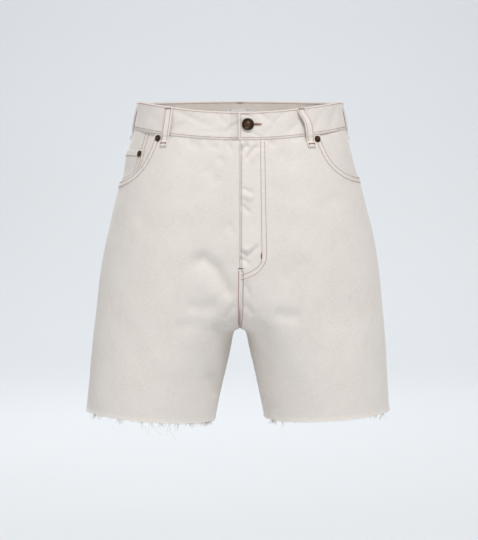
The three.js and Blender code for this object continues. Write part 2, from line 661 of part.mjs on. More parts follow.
function bandGeometry() {
  const columns = bandColumns();
  const hole = BUTTON.hole;
  const holeLow = BUTTON.z - hole.height / 2;
  const holeHigh = BUTTON.z + hole.height / 2;
  const rowsNearHole = (seam) => [
    seam + BAND_HEIGHT, mix(holeHigh, seam + BAND_HEIGHT, 0.5), holeHigh, holeLow,
    mix(holeLow, seam + HALF_GAP, 0.5), seam + HALF_GAP,
  ];
  const grid = (offset) => BAND_LEVELS.map((level, row) => columns.map(({ share, length }) => {
    const half = wholeArc(WAIST_SEAM.side);
    const around = (share * 2 * half + length + 2 * half) % (2 * half);
    const side = around <= half ? 1 : -1;
    const seam = waistAt(placeOf(side > 0 ? around : 2 * half - around, WAIST_SEAM.side), side);
    const fromFront = Math.min(around, 2 * half - around);
    const nearHole = smooth((HOLE_FADE.far - fromFront) / (HOLE_FADE.far - HOLE_FADE.near));
    const z = mix(seam + BAND_HEIGHT * level, rowsNearHole(seam)[row], nearHole);
    const dive = share === 1 ? smooth((length + BAND_DIVE) / (BAND_DIVE + BAND_UPPER_END - SEAM_GAP)) : 0;
    const inwards = dive * (BAND_THICK + BAND_LAP_GAP);
    return ringOffset(share * 2 * wholeArc(z) + length, z, offset - inwards);
  }));
  const inHole = columns.map(({ share, length }) => share === 0 && length >= hole.from && length < hole.to);
  return wallGeometry(
    grid(BAND_PROUD),
    grid(BAND_PROUD - BAND_THICK),
    (row, column) => row === HOLE_ROW && inHole[column],
  );
}

// A belt loop: a flat strip tacked at both ends that bows out over the band
function loopGeometry(loop) {
  const { columns, fold } = LOOP;
  const face = (isOuter) => LOOP_PATH.map(([share, bowed]) => range(columns).map((column) => {
    const across = (column / (columns - 1) - 0.5) * LOOP.width;
    const height = mix(LOOP.bottom, LOOP.top, share);
    const place = loop.arc === undefined ? loop.place : placeOf(loop.arc, WAIST_SEAM.side);
    const z = waistAt(place, loop.side) + height;
    const middle = arcOf(place, z);
    const slanted = middle - loop.slant * smooth((share - LOOP.slantFrom) / (1 - LOOP.slantFrom));
    const seat = BAND_PROUD * smooth((height + LOOP.seatRise) / LOOP.seatRise) + LOOP.tackGap;
    const thick = share <= fold.foot || share >= fold.top ? fold.thick : LOOP.thick;
    const offset = seat + loop.bow * bowed + (isOuter ? thick : 0);
    return ringOffset(ringDistance(slanted + across, z, loop.side), z, offset);
  }));
  return wallGeometry(face(true), face(false));
}

// Distance round the whole waist from a distance round one side of it
function ringDistance(arc, z, side) {
  return side > 0 ? arc : 2 * wholeArc(z) - arc;
}

// Round hardware stands on the cloth, its axis along the cloth's outward direction
function addRound(name, profile, segments, point, normal) {
  const outline = profile.map(([radius, height]) => new THREE.Vector2(radius, height));
  const mesh = addPart(name, new THREE.LatheGeometry(outline, segments), BRONZE_FINISH);
  mesh.position.copy(point);
  mesh.quaternion.setFromUnitVectors(new THREE.Vector3(0, 1, 0), normal);
  return mesh;
}

// The frayed edge of one leg: a strip below the hem, with threads growing out of its lower face
function fringeGeometry(side, seed) {
  const random = randomFrom(seed);
  const corners = [];
  const triangles = [];
  const quad = (a, b, c, d) => triangles.push([a, b, c], [a, c, d]);
  const add = (point) => corners.push(point) - 1;
  const hem = side > 0 ? HEM.left : HEM.right;
  const around = wholeArc(hem.height);
  const pitch = around / FRINGE.threads;
  const columns = [];
  for (let k = 0; k < FRINGE.threads; k += 1) {
    const start = (k + FRINGE.firstPlace + FRINGE.placeSpread * random()) * pitch;
    columns.push(start, start + FRINGE.threadWidth);
  }
  const rings = columns.map((arc) => {
    const z = hemAt(placeOf(arc, hem.height), side) - SEAM_GAP;
    const top = clothPoint(arc, z, side);
    const normal = clothNormal(arc, z, side).setZ(0).normalize();
    const low = top.clone().setZ(z - FRINGE.strip);
    const inward = normal.clone().multiplyScalar(-FRINGE.thick);
    return {
      normal,
      index: [top, low, low.clone().add(inward), top.clone().add(inward)].map(add),
      low,
    };
  });
  rings.forEach((ring, k) => {
    const next = rings[(k + 1) % rings.length];
    const faces = k % 2 === 0 ? [0, 2, 3] : [0, 1, 2, 3];
    for (const face of faces) {
      const after = (face + 1) % 4;
      quad(ring.index[face], ring.index[after], next.index[after], next.index[face]);
    }
    if (k % 2 === 0) addThread(ring, next);
  });

  function addThread(ring, next) {
    const root = [ring.index[1], ring.index[2], next.index[2], next.index[1]];
    const middle = root.reduce((sum, i) => sum.add(corners[i]), new THREE.Vector3()).multiplyScalar(0.25);
    const tangent = new THREE.Vector3().subVectors(next.low, ring.low).normalize();
    const reach = threadReach(middle, side, random);
    const lean = tangent.multiplyScalar((random() - 0.5) * FRINGE.leanAcross * reach)
      .addScaledVector(ring.normal, (random() - FRINGE.outShare) * FRINGE.leanOut * reach);
    const bend = root.map((i) => add(
      corners[i].clone().sub(middle).multiplyScalar(FRINGE.bendWidth).add(middle)
        .addScaledVector(lean, FRINGE.bendLean).add(new THREE.Vector3(0, 0, -FRINGE.bendDown * reach)),
    ));
    const tip = add(middle.clone().add(lean).add(new THREE.Vector3(0, 0, -reach)));
    for (let i = 0; i < 4; i += 1) {
      const j = (i + 1) % 4;
      quad(root[i], root[j], bend[j], bend[i]);
      triangles.push([bend[i], bend[j], tip]);
    }
  }
  return solidGeometry(corners, triangles);
}

function threadReach(point, side, random) {
  const face = Math.sign(point.y);
  let reach = FRINGE.shortest + FRINGE.spread * random() ** 2;
  for (const tuft of TUFTS) {
    if (tuft.leg !== side || tuft.face !== face) continue;
    const share = Math.abs(point.x - tuft.x) / tuft.width;
    if (share < 1) reach = Math.max(reach, tuft.reach * (1 - FRINGE.tuftFade * share * random()));
  }
  return reach;
}

// Panels, pockets, loops and fringe, left and right
for (const [name, side] of [['left', 1], ['right', -1]]) {
  addPart(`front_${name}`, clothWall(frontPlaces(side), side, 0, -DENIM), DENIM_FINISH);
  addPart(`back_${name}`, clothWall(backPlaces(side), side, 0, -DENIM), DENIM_FINISH);
  addPart(`yoke_${name}`, clothWall(yokePlaces(side), side, 0, -DENIM), DENIM_FINISH);
  const behind = -DENIM - POCKET_SHEET.gap;
  addPart(
    `pocket_${name}`,
    clothWall(pocketPlaces(side), side, behind, behind - POCKET_SHEET.thick),
    SHEETING_FINISH,
  );
  const pocket = clothWall(backPocketPlaces(side), side, LAYER_GAP + BACK_POCKET.thick, LAYER_GAP);
  addPart(`back_pocket_${name}`, pocket, DENIM_FINISH);
  addPart(`hem_fringe_${name}`, fringeGeometry(side, 11 + side), DENIM_FINISH);
}

const coinInner = LAYER_GAP - DENIM - POCKET_SHEET.gap;
addPart('coin_pocket', clothWall(coinPlaces(-1), -1, coinInner + COIN.thick, coinInner), DENIM_FINISH);
addPart('fly_underlap', underlapGeometry(), DENIM_FINISH);
addPart('waistband', bandGeometry(), DENIM_FINISH);
for (const loop of LOOPS) addPart(`belt_loop_${loop.name}`, loopGeometry(loop), DENIM_FINISH);

// Label inside the middle of the back of the band
function labelGeometry() {
  const top = WAIST_SEAM.back + BAND_HEIGHT - LABEL.below;
  const grid = (offset) => range(LABEL.rows + 1).map((row) => range(LABEL.columns + 1).map((column) => {
    const z = top - LABEL.height * (row / LABEL.rows);
    const from = (column / LABEL.columns - 0.5) * LABEL.width;
    return clothOffset(wholeArc(z) - Math.abs(from), z, from < 0 ? 1 : -1, offset);
  }));
  const outer = BAND_PROUD - BAND_THICK - SEAM_GAP;
  return wallGeometry(grid(outer), grid(outer - LABEL.thick));
}
addPart('back_label', labelGeometry(), LABEL_FINISH);

// Hardware
const buttonNormal = clothNormal(BUTTON.x, BUTTON.z, 1);
const buttonSeat = clothOffset(BUTTON.x, BUTTON.z, 1, BAND_PROUD);
addRound('waist_button', BUTTON_PROFILE, BUTTON.segments, buttonSeat, buttonNormal);
for (const rivet of RIVETS) {
  const { arc, z } = belowWaist(rivet.fromSide, rivet.below, rivet.side);
  const seat = clothOffset(arc, z, rivet.side, SEAM_GAP);
  addRound(`rivet_${rivet.name}`, RIVET_PROFILE, RIVET_SEGMENTS, seat, clothNormal(arc, z, rivet.side));
}
const coinRivet = belowWaist(COIN_RIVET.fromSide, COIN_RIVET.below, -1);
const coinSeat = coinInner + COIN.thick + SEAM_GAP + facingLift(COIN_RIVET.fromSide, COIN_RIVET.below, -1);
addRound(
  'rivet_coin',
  RIVET_PROFILE,
  RIVET_SEGMENTS,
  clothOffset(coinRivet.arc, coinRivet.z, -1, coinSeat),
  clothNormal(coinRivet.arc, coinRivet.z, -1),
);

export default parts;
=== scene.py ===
"""The looks of a pair of off-white denim shorts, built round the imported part.

Lengths in the tables are millimetres, and every mesh is made in metres. +X is the wearer's left,
-Y the front. A place on the form is t (0 front seam, 1 side seam, 2 back seam) and a height z.
"""
import math

import bpy
import numpy as np
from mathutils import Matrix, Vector


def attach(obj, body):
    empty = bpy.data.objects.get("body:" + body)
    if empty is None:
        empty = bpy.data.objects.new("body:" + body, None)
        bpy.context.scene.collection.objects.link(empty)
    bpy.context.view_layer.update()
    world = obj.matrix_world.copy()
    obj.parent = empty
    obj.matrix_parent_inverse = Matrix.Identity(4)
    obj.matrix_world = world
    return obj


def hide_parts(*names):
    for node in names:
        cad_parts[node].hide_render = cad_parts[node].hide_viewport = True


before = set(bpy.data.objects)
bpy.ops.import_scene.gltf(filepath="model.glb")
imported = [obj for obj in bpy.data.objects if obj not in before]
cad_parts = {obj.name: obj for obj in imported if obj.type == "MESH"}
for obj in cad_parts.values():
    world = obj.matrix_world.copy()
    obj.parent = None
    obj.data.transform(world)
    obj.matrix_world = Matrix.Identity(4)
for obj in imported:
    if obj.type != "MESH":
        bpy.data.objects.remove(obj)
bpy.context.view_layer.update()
MM = 0.001

# Camera: a long lens straight on, a little above the middle of the shorts
CAMERA_DISTANCE = 3200.0
CAMERA_ELEVATION = math.radians(3.0)
CAMERA_TARGET = (-1.4, 0.0, -221.0)
MM_PER_PIXEL = 1.44
IMAGE_SIZE = (478, 540)
SENSOR = 36.0


def make_camera():
    focal_pixels = CAMERA_DISTANCE / MM_PER_PIXEL
    data = bpy.data.cameras.new("camera")
    data.sensor_width = SENSOR
    data.lens = focal_pixels / max(IMAGE_SIZE) * SENSOR
    camera = bpy.data.objects.new("camera", data)
    bpy.context.scene.collection.objects.link(camera)
    target = Vector(CAMERA_TARGET) * MM
    away = Vector((0.0, -math.cos(CAMERA_ELEVATION), math.sin(CAMERA_ELEVATION)))
    camera.location = target + away * CAMERA_DISTANCE * MM
    camera.rotation_euler = (-away).to_track_quat("-Z", "Y").to_euler()
    bpy.context.scene.camera = camera


make_camera()

# Cloth
DENIM = 1.4
SEAM_GAP = 0.3
HALF_GAP = SEAM_GAP / 2
WAIST_SEAM = {"front": -35.2, "side": -19.2, "back": -15.6, "half_width": 150.0}
BAND_HEIGHT = 39.6
BAND_PROUD = 0.8
BAND_THICK = 3.0
BAND_LAP_GAP = 0.5
BAND_UPPER_END = -2.5
BAND_UNDER_END = 36.0
BAND_DIVE = 16.0
HEM = {
    1: {"height": -425.5, "side": 0.06, "back": 0.02, "middle": 128.0},
    -1: {"height": -427.5, "side": 0.075, "back": 0.016, "middle": 128.0},
}
CROTCH = -304.0

# Half sections of the form, as in the part
SECTION_COLUMNS = (
    "z", "side", "front", "back", "crown", "seam_front", "seam_back", "inner", "turn",
    "full_front", "full_back",
)
TORSO = (
    (30, 142.5, 102.5, 98.5, 30, -102.5, 98.5, 0, 0, 0.55, 0.55),
    (0, 147.5, 105, 103, 32, -105, 103, 0, 0, 0.55, 0.55),
    (-20, 151.5, 107.5, 107, 34, -107.5, 107, 0, 0, 0.55, 0.55),
    (-60, 162, 112, 121, 42, -112, 121, 0, 0, 0.55, 0.55),
    (-100, 173, 116, 134, 50, -116, 133.5, 0, 0, 0.55, 0.55),
    (-140, 183.5, 118, 142, 58, -118, 141, 0, 0, 0.55, 0.55),
    (-180, 193, 118, 145, 66, -117.5, 143, 0, 3, 0.55, 0.55),
    (-220, 199.5, 116, 142, 74, -114, 136, 0, 8, 0.55, 0.55),
    (-255, 203.5, 114, 134, 83, -107, 117, 0, 20, 0.55, 0.55),
    (-280, 206, 112, 126, 92, -93, 86, 0, 42, 0.62, 0.57),
    (-294, 207.2, 110.5, 121, 98, -70, 50, 0, 65, 0.82, 0.61),
    (-301, 207.8, 110, 119, 101, -38, 24, 0, 82, 0.88, 0.66),
    (CROTCH, 208, 109.5, 118, 102, 5, 5, 0.3, 90, 0.88, 0.7),
)
LEG = (
    (CROTCH, 208, 109.5, 118, 102, 5, 5, 0.3, 90, 0.88, 0.7),
    (-305.5, 208.1, 109.4, 117.5, 102.5, 5, 5, 5.5, 90, 0.88, 0.7),
    (-309, 208.4, 109.2, 116.5, 103, 5, 5, 8, 90, 0.88, 0.7),
    (-330, 210, 108, 112.5, 107, 4.5, 4.5, 13, 90, 0.76, 0.64),
    (-370, 212.5, 105, 106.5, 115, 3.5, 3.5, 21.5, 90, 0.6, 0.56),
    (-410, 215, 102, 101.5, 122, 3, 3, 30, 90, 0.55, 0.55),
    (-445, 217, 99.5, 98, 128, 2, 2, 38, 90, 0.55, 0.55),
)
WAIST_POWER = 2.25
POWER_FADE = {"from": -300.0, "over": 200.0}
QUARTER_CIRCLE = 0.5523
FLAT_SEAM_HANDLE = {"share": 0.36, "shorter": 0.6}
SIDE_SEAM_BACK = 10.0
CROWN_SHARE = 0.36
PLACE_STOPS = (0, CROWN_SHARE, 1, 2 - CROWN_SHARE, 2)
RIGHT_LEG_WIDER = 0.03
RIGHT_LEG_FADE = (-220.0, 200.0)
OUTLINE_STEPS = 72
LEVEL_STEP = 1.0
FINE_LEVELS = (-312.0, -276.0, 0.25)
PLACE_STEPS = 640

# How the bend from body to legs is eased, and how far from the seams (in t) that starts
BEND = {
    "radius": 8.0, "top": -268.0, "bottom": -352.0, "fade": 18.0, "seam": 0.03, "seam_fade": 0.16,
    "step": 0.5,
}

SCOOPS = {1: {"across": 112.0, "deep": 67.0}, -1: {"across": 102.5, "deep": 74.0}}
SCOOP_POWER = 3.0
YOKE = {"side": 38.0, "middle": 68.0}


def smooth(value):
    s = np.clip(value, 0.0, 1.0)
    return s * s * (3.0 - 2.0 * s)


def mix(a, b, share):
    return a + (b - a) * share


def unit(vectors):
    """The vectors, made one long."""
    return vectors / np.maximum(np.linalg.norm(vectors, axis=-1, keepdims=True), 1e-9)


def run(points):
    """Length along a line of points, at each of them."""
    return np.concatenate([[0], np.cumsum(np.linalg.norm(np.diff(points, axis=0), axis=-1))])


def carry(value, stops, new_stops):
    """A value carried from one row of stops to another, stretch by stretch."""
    total = 0.0
    for k in range(len(PLACE_STOPS) - 1):
        share = np.clip((value - stops[k]) / (stops[k + 1] - stops[k]), 0, 1)
        total = total + share * (new_stops[k + 1] - new_stops[k])
    return total


def read_column(table, column, z):
    """One column of a section table at the heights z, rising or falling only where its rows do."""
    rows = np.array(table[::-1], float)
    x, y = rows[:, 0], rows[:, column]
    width = np.diff(x)
    slope = np.diff(y) / width
    tangent = np.zeros(len(x))
    tangent[0], tangent[-1] = slope[0], slope[-1]
    for i in range(1, len(x) - 1):
        if slope[i - 1] * slope[i] > 0:
            w1, w2 = 2 * width[i] + width[i - 1], width[i] + 2 * width[i - 1]
            tangent[i] = (w1 + w2) / (w1 / slope[i - 1] + w2 / slope[i])
    at = np.clip(z, x[0], x[-1])
    k = np.clip(np.searchsorted(x, at, side="right") - 1, 0, len(x) - 2)
    s = (at - x[k]) / width[k]
    return ((2 * s**3 - 3 * s**2 + 1) * y[k] + (s**3 - 2 * s**2 + s) * width[k] * tangent[k]
            + (3 * s**2 - 2 * s**3) * y[k + 1] + (s**3 - s**2) * width[k] * tangent[k + 1])


def inner_stretch(section, face):
    seam_y = section["seam_front"] if face < 0 else section["seam_back"]
    full_y = -section["front"] if face < 0 else section["back"]
    angle = math.radians(section["turn"])
    across = section["crown"] - section["inner"]
    full = section["full_front"] if face < 0 else section["full_back"]
    flat = FLAT_SEAM_HANDLE["share"] * (1 - FLAT_SEAM_HANDLE["shorter"] * math.sin(angle))
    start = flat * across * math.cos(angle) + full * abs(full_y - seam_y) * math.sin(angle)
    control = np.array([
        (section["inner"], seam_y),
        (section["inner"] + start * math.cos(angle), seam_y + face * start * math.sin(angle)),
        (section["crown"] - QUARTER_CIRCLE * across, full_y),
        (section["crown"], full_y),
    ])
    u = np.linspace(0, 1, OUTLINE_STEPS + 1)[:, None]
    weights = ((1 - u)**3, 3 * u * (1 - u)**2, 3 * u**2 * (1 - u), u**3)
    return sum(w * p for w, p in zip(weights, control))


def outer_stretch(section, face, power):
    full_y = -section["front"] if face < 0 else section["back"]
    angle = np.linspace(0, math.pi / 2, OUTLINE_STEPS + 1)
    x = section["crown"] + (section["side"] - section["crown"]) * np.sin(angle)**(2 / power)
    return np.stack([x, full_y * np.clip(np.cos(angle), 0, 1)**(2 / power)], 1)


class Form:
    """The shorts' form, read from tables of half sections at many heights."""

    def __init__(self):
        coarse = np.arange(-446.0, 31.0, LEVEL_STEP)
        fine = np.arange(*FINE_LEVELS)
        self.levels = np.unique(np.concatenate([coarse, fine, [CROTCH]]))
        self.places = np.linspace(0, 2, PLACE_STEPS + 1)
        count = len(self.levels)
        self.x = np.zeros((count, PLACE_STEPS + 1))
        self.y = np.zeros((count, PLACE_STEPS + 1))
        self.marks = np.zeros((count, 5))
        self.inner = np.zeros(count)
        for i, z in enumerate(self.levels):
            self.add_level(i, z)
        self.x = self.soften(self.x)
        self.y = self.soften(self.y)

    def soften(self, values):
        """Eases the bend from body to legs, away from the seams, up and down the cloth."""
        step = BEND["step"]
        even = np.arange(self.levels[0], self.levels[-1] + step, step)
        reach = int(3 * BEND["radius"] / step)
        weights = np.exp(-0.5 * (np.arange(-reach, reach + 1) * step / BEND["radius"])**2)
        weights /= weights.sum()
        eased = np.empty_like(values)
        for j in range(values.shape[1]):
            column = np.pad(np.interp(even, self.levels, values[:, j]), reach, mode="edge")
            eased[:, j] = np.interp(self.levels, even, np.convolve(column, weights, mode="valid"))
        below = smooth((BEND["top"] - self.levels) / BEND["fade"])
        above = smooth((self.levels - BEND["bottom"]) / BEND["fade"])
        from_seam = smooth((np.minimum(self.places, 2 - self.places) - BEND["seam"]) / BEND["seam_fade"])
        return mix(values, eased, (below * above)[:, None] * from_seam[None, :])

    def add_level(self, i, z):
        table = TORSO if z >= CROTCH else LEG
        section = {name: float(read_column(table, k, z)) for k, name in enumerate(SECTION_COLUMNS)}
        power = 2 + (WAIST_POWER - 2) * min(1.0, max(0.0, (z - POWER_FADE["from"]) / POWER_FADE["over"]))
        points = np.concatenate([
            inner_stretch(section, -1), outer_stretch(section, -1, power)[1:],
            outer_stretch(section, 1, power)[::-1][1:], inner_stretch(section, 1)[::-1][1:],
        ])
        arcs = run(points)
        marks = arcs[::OUTLINE_STEPS].copy()
        marks[2] += SIDE_SEAM_BACK
        at = np.interp(self.places, PLACE_STOPS, marks)
        self.x[i] = np.interp(at, arcs, points[:, 0])
        self.y[i] = np.interp(at, arcs, points[:, 1])
        self.marks[i] = marks
        self.inner[i] = section["inner"]

    def level(self, z):
        z = np.clip(z, self.levels[0], self.levels[-1])
        k = np.clip(np.searchsorted(self.levels, z, side="right") - 1, 0, len(self.levels) - 2)
        return k, (z - self.levels[k]) / (self.levels[k + 1] - self.levels[k])

    def marks_at(self, z):
        k, s = self.level(z)
        s = s[..., None]
        return self.marks[k] * (1 - s) + self.marks[k + 1] * s

    def side_arc(self, z):
        return self.marks_at(np.asarray(z, float))[..., 2]

    def whole_arc(self, z):
        return self.marks_at(np.asarray(z, float))[..., 4]

    def place_of(self, arc, z):
        """t of a distance round the half section from its front seam."""
        marks = np.moveaxis(self.marks_at(np.asarray(z, float)), -1, 0)
        return carry(np.asarray(arc, float), marks, PLACE_STOPS)

    def arc_of(self, t, z):
        marks = np.moveaxis(self.marks_at(np.asarray(z, float)), -1, 0)
        return carry(t, PLACE_STOPS, marks)

    def point(self, t, z, side):
        """Points of the plain form, without folds, on one side of the body."""
        t, z = np.broadcast_arrays(np.asarray(t, float), np.asarray(z, float))
        k, s = self.level(z)
        at = np.clip(t, 0, 2) * PLACE_STEPS / 2
        j = np.clip(at.astype(int), 0, PLACE_STEPS - 1)
        r = at - j
        x = mix(mix(self.x[k, j], self.x[k, j + 1], r), mix(self.x[k + 1, j], self.x[k + 1, j + 1], r), s)
        y = mix(mix(self.y[k, j], self.y[k, j + 1], r), mix(self.y[k + 1, j], self.y[k + 1, j + 1], r), s)
        if side < 0:
            inner = mix(self.inner[k], self.inner[k + 1], s)
            wider = RIGHT_LEG_WIDER * np.clip((RIGHT_LEG_FADE[0] - z) / RIGHT_LEG_FADE[1], 0, 1)
            x = inner + (x - inner) * (1 + wider)
        return np.stack([side * (x + HALF_GAP), y, z], -1)


form = Form()


def waist_at(t, side):
    """Height of the waist seam at a place round the body."""
    x = np.abs(form.point(t, WAIST_SEAM["side"], side)[..., 0])
    middle = np.where(np.asarray(t) <= 1, WAIST_SEAM["front"], WAIST_SEAM["back"])
    return mix(middle, WAIST_SEAM["side"], np.clip((x / WAIST_SEAM["half_width"])**2, 0, 1))


def hem_at(t, side):
    hem = HEM[side]
    point = form.point(t, hem["height"], side)
    return hem["height"] + hem["side"] * (np.abs(point[..., 0]) - hem["middle"]) + hem["back"] * point[..., 1]


# Creases and folds across the front (face -1) and back (face 1): path as (x, z), half width and depth.
# Negative depths are troughs. The largest are in the solids too.
FOLDS = (
    (-1, ((-72, -214), (-51, -200), (-34, -214), (-18, -244), (-5, -258)), 10, -6.0),
    (-1, ((-60, -226), (-46, -240), (-32, -256)), 12, 1.8),
    (-1, ((-78, -262), (-54, -270), (-26, -264)), 11, -3.0),
    (-1, ((44, -274), (64, -281), (86, -279)), 10, -3.2),
    (-1, ((-46, -362), (-37, -384), (-33, -404)), 9, -2.6),
    (-1, ((30, -390), (40, -406), (50, -422)), 9, -2.6),
    (-1, ((52, -50), (66, -62), (82, -68)), 12, -1.8),
    (1, ((-96, -286), (-66, -298), (-34, -292)), 11, -4.6),
    (1, ((30, -284), (58, -296), (92, -290)), 11, -5.2),
    (1, ((-124, -322), (-92, -338), (-64, -340)), 14, -3.8),
    (1, ((70, -346), (96, -338), (128, -346)), 14, -3.4),
)
CREASES = (
    (-1, ((-16, -147), (-12, -158), (-8, -168)), 4, -1.6),
    (-1, ((2, -108), (10, -112), (18, -117)), 4.5, 2.6),
    (-1, ((3, -102), (11, -106), (19, -108)), 3, -2.2),
    (-1, ((2, -124), (8, -131), (15, -136)), 3.5, -2.8),
    (-1, ((0, -189), (12, -195), (27, -179)), 3.5, -3.4),
    (-1, ((1, -203), (7, -199), (13, -209)), 3, -2.4),
    (-1, ((2, -184), (12, -188), (20, -181)), 4, 1.8),
    (-1, ((-1, -198), (5, -203), (10, -205)), 3, -2),
    (-1, ((1, -54), (5, -47), (13, -40)), 3.5, -4.0),
    (-1, ((8, -64), (15, -52), (26, -41)), 3.5, -3.8),
    (-1, ((14, -66), (22, -56), (29, -46)), 4, 1.6),
    (-1, ((37, -37), (46, -41), (54, -38)), 3, -2.6),
    (-1, ((-72, -37), (-64, -42), (-56, -45)), 6, -2.2),
    (-1, ((-18, -38), (-14, -44), (-12, -52)), 4, -2.2),
    (-1, ((-44, -38), (-38, -44), (-30, -47)), 5, -2.0),
    (-1, ((-32, -58), (-28, -62), (-23, -67)), 5, -1.8),
    (-1, ((-50, -72), (-38, -84), (-30, -98)), 9, -1.8),
    (-1, ((5, -232), (9, -241), (13, -252)), 3.5, -1.8),
    (-1, ((4, -262), (12, -270), (18, -281)), 4.5, -2.2),
    (-1, ((-6, -262), (-13, -276), (-22, -288)), 5, -2.5),
    (-1, ((-5, -282), (-11, -290), (-20, -297)), 4, -2.3),
    (-1, ((5, -288), (14, -293), (26, -297)), 4, -2.3),
    (-1, ((-96, -300), (-70, -292), (-48, -286)), 10, -1.8),
    (-1, ((96, -196), (76, -214), (60, -236)), 13, -1.6),
    (-1, ((-150, -132), (-134, -150), (-124, -172)), 12, -1.6),
    (-1, ((140, -110), (122, -122), (108, -138)), 11, -1.4),
    (-1, ((-120, -330), (-104, -348), (-96, -372)), 14, 1.6),
    (-1, ((118, -318), (104, -340), (98, -366)), 14, -1.4),
    (-1, ((160, -250), (148, -276), (142, -306)), 15, -1.4),
    (1, ((-8, -168), (-30, -182), (-58, -190)), 9, -2.4),
    (1, ((6, -150), (30, -166), (52, -170)), 9, -2.2),
    (1, ((-4, -232), (-18, -248), (-38, -262)), 8, -4.0),
    (1, ((4, -238), (20, -256), (44, -268)), 8, -4.2),
    (1, ((-3, -262), (-14, -276), (-30, -284)), 6, -3.6),
    (1, ((3, -270), (14, -282), (26, -290)), 6, -3.4),
    (1, ((-150, -262), (-122, -276), (-100, -280)), 11, -3.2),
    (1, ((104, -270), (130, -268), (158, -256)), 11, -3.0),
    (1, ((-60, -372), (-50, -392), (-46, -412)), 10, -3.2),
    (1, ((48, -368), (58, -392), (60, -414)), 10, -3.4),
    (1, ((-80, -22), (-62, -30), (-44, -31)), 6, -1.8),
    (1, ((40, -24), (62, -34), (84, -30)), 6, -1.8),
)
FOLD_END = 0.22
FOLD_END_DEPTH = 0.15
RIPPLES = 16
RIPPLE_HEIGHT = 0.2
RIPPLE_LENGTHS = (34.0, 150.0)
RIPPLE_POWER = 0.7
RIPPLE_FREE = {"from": -21.0, "over": 20.0}


def fold_push(x, z, face):
    """How far the folds push the cloth out at places of the front or back."""
    push = np.zeros(np.broadcast(x, z).shape)
    for fold_face, path, width, depth in FOLDS + CREASES:
        path = np.array(path, float)
        low, high = path.min(0) - 3 * width, path.max(0) + 3 * width
        near = (face == fold_face) & (x > low[0]) & (x < high[0]) & (z > low[1]) & (z < high[1])
        if not near.any():
            continue
        px, pz = x[near], z[near]
        lengths = np.hypot(*np.diff(path, axis=0).T)
        before = np.concatenate([[0], np.cumsum(lengths)])
        nearest = np.full(px.shape, 1e9)
        along = np.zeros(px.shape)
        for i, length in enumerate(lengths):
            a, step = path[i], path[i + 1] - path[i]
            share = np.clip(((px - a[0]) * step[0] + (pz - a[1]) * step[1]) / length**2, 0, 1)
            distance = np.hypot(px - a[0] - share * step[0], pz - a[1] - share * step[1])
            closer = distance < nearest
            nearest = np.where(closer, distance, nearest)
            along = np.where(closer, (before[i] + share * length) / before[-1], along)
        ends = smooth(along / FOLD_END) * smooth((1 - along) / FOLD_END)
        push[near] += depth * mix(FOLD_END_DEPTH, 1, ends) * np.exp(-(nearest / width)**2)
    return push


def make_ripples(seed):
    random = np.random.RandomState(seed)
    directions = unit(random.normal(size=(RIPPLES, 3)))
    lengths = random.uniform(*RIPPLE_LENGTHS, RIPPLES)
    phases = random.uniform(0, 2 * math.pi, RIPPLES)
    heights = RIPPLE_HEIGHT * (lengths / RIPPLE_LENGTHS[1])**RIPPLE_POWER
    return directions * (2 * math.pi / lengths)[:, None], phases, heights


ripple_waves, ripple_phases, ripple_heights = make_ripples(4)


def ripple(points):
    """A slight unevenness of the whole cloth."""
    return (np.sin(points @ ripple_waves.T + ripple_phases) * ripple_heights).sum(-1)


def cloth_point(t, z, side):
    """Points of the cloth's face with its folds."""
    t, z = np.broadcast_arrays(np.asarray(t, float), np.asarray(z, float))
    base = form.point(t, z, side)
    step = 1.0 / PLACE_STEPS
    along = unit(form.point(np.minimum(t + step, 2), z, side) - form.point(np.maximum(t - step, 0), z, side))
    outward = side * np.stack([along[..., 1], -along[..., 0], np.zeros_like(z)], -1)
    push = fold_push(base[..., 0], z, np.where(t < 1, -1, 1))
    push = push + ripple(base) * smooth((RIPPLE_FREE["from"] - z) / RIPPLE_FREE["over"])
    return base + outward * push[..., None]


REACH = 1.6


def cloth_normal(t, z, side):
    t, z = np.broadcast_arrays(np.asarray(t, float), np.asarray(z, float))
    whole = form.whole_arc(z)
    arc = form.arc_of(t, z)
    after = cloth_point(form.place_of(np.minimum(arc + REACH, whole), z), z, side)
    before = cloth_point(form.place_of(np.maximum(arc - REACH, 0), z), z, side)
    down = cloth_point(t, z - REACH, side) - cloth_point(t, z + REACH, side)
    return unit(side * np.cross(down, after - before))


def cloth(t, z, side, offset):
    """Points at an offset from the cloth's face: positive is outwards."""
    offset = np.asarray(offset, float)[..., None]
    return cloth_point(t, z, side) + cloth_normal(t, z, side) * offset


# Meshes

SHARP_ANGLE = math.radians(58)


def add_object(name, points, faces, uvs=None, tint_and_painted_shade=None):
    """A smooth mesh in metres from points in millimetres."""
    mesh = bpy.data.meshes.new(name)
    mesh.from_pydata((np.asarray(points) * MM).tolist(), [], faces)
    if uvs is not None:
        layer = mesh.uv_layers.new(name="cloth")
        loops = np.zeros(len(mesh.loops), dtype=np.int32)
        mesh.loops.foreach_get("vertex_index", loops)
        layer.data.foreach_set("uv", (np.asarray(uvs) * MM)[loops].astype(np.float32).ravel())
    # Per-point tint: on the denim pieces it is painted shade in the dips and painted highlight on what stands
    # proud; on threads, metal, label and fringe it is their own tint.
    if tint_and_painted_shade is not None:
        attribute = mesh.attributes.new("tint_and_painted_shade", "FLOAT", "POINT")
        attribute.data.foreach_set("value", np.asarray(tint_and_painted_shade, np.float32))
    mesh.polygons.foreach_set("use_smooth", np.ones(len(mesh.polygons), dtype=bool))
    mesh.update()
    mesh.set_sharp_from_angle(angle=SHARP_ANGLE)
    piece = bpy.data.objects.new(name, mesh)
    bpy.context.scene.collection.objects.link(piece)
    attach(piece, "root")
    return piece


def signed_volume(points, faces):
    p = points[faces]
    first = np.einsum("ij,ij->i", p[:, 0], np.cross(p[:, 1], p[:, 2]))
    second = np.einsum("ij,ij->i", p[:, 0], np.cross(p[:, 2], p[:, 3]))
    return (first + second).sum()


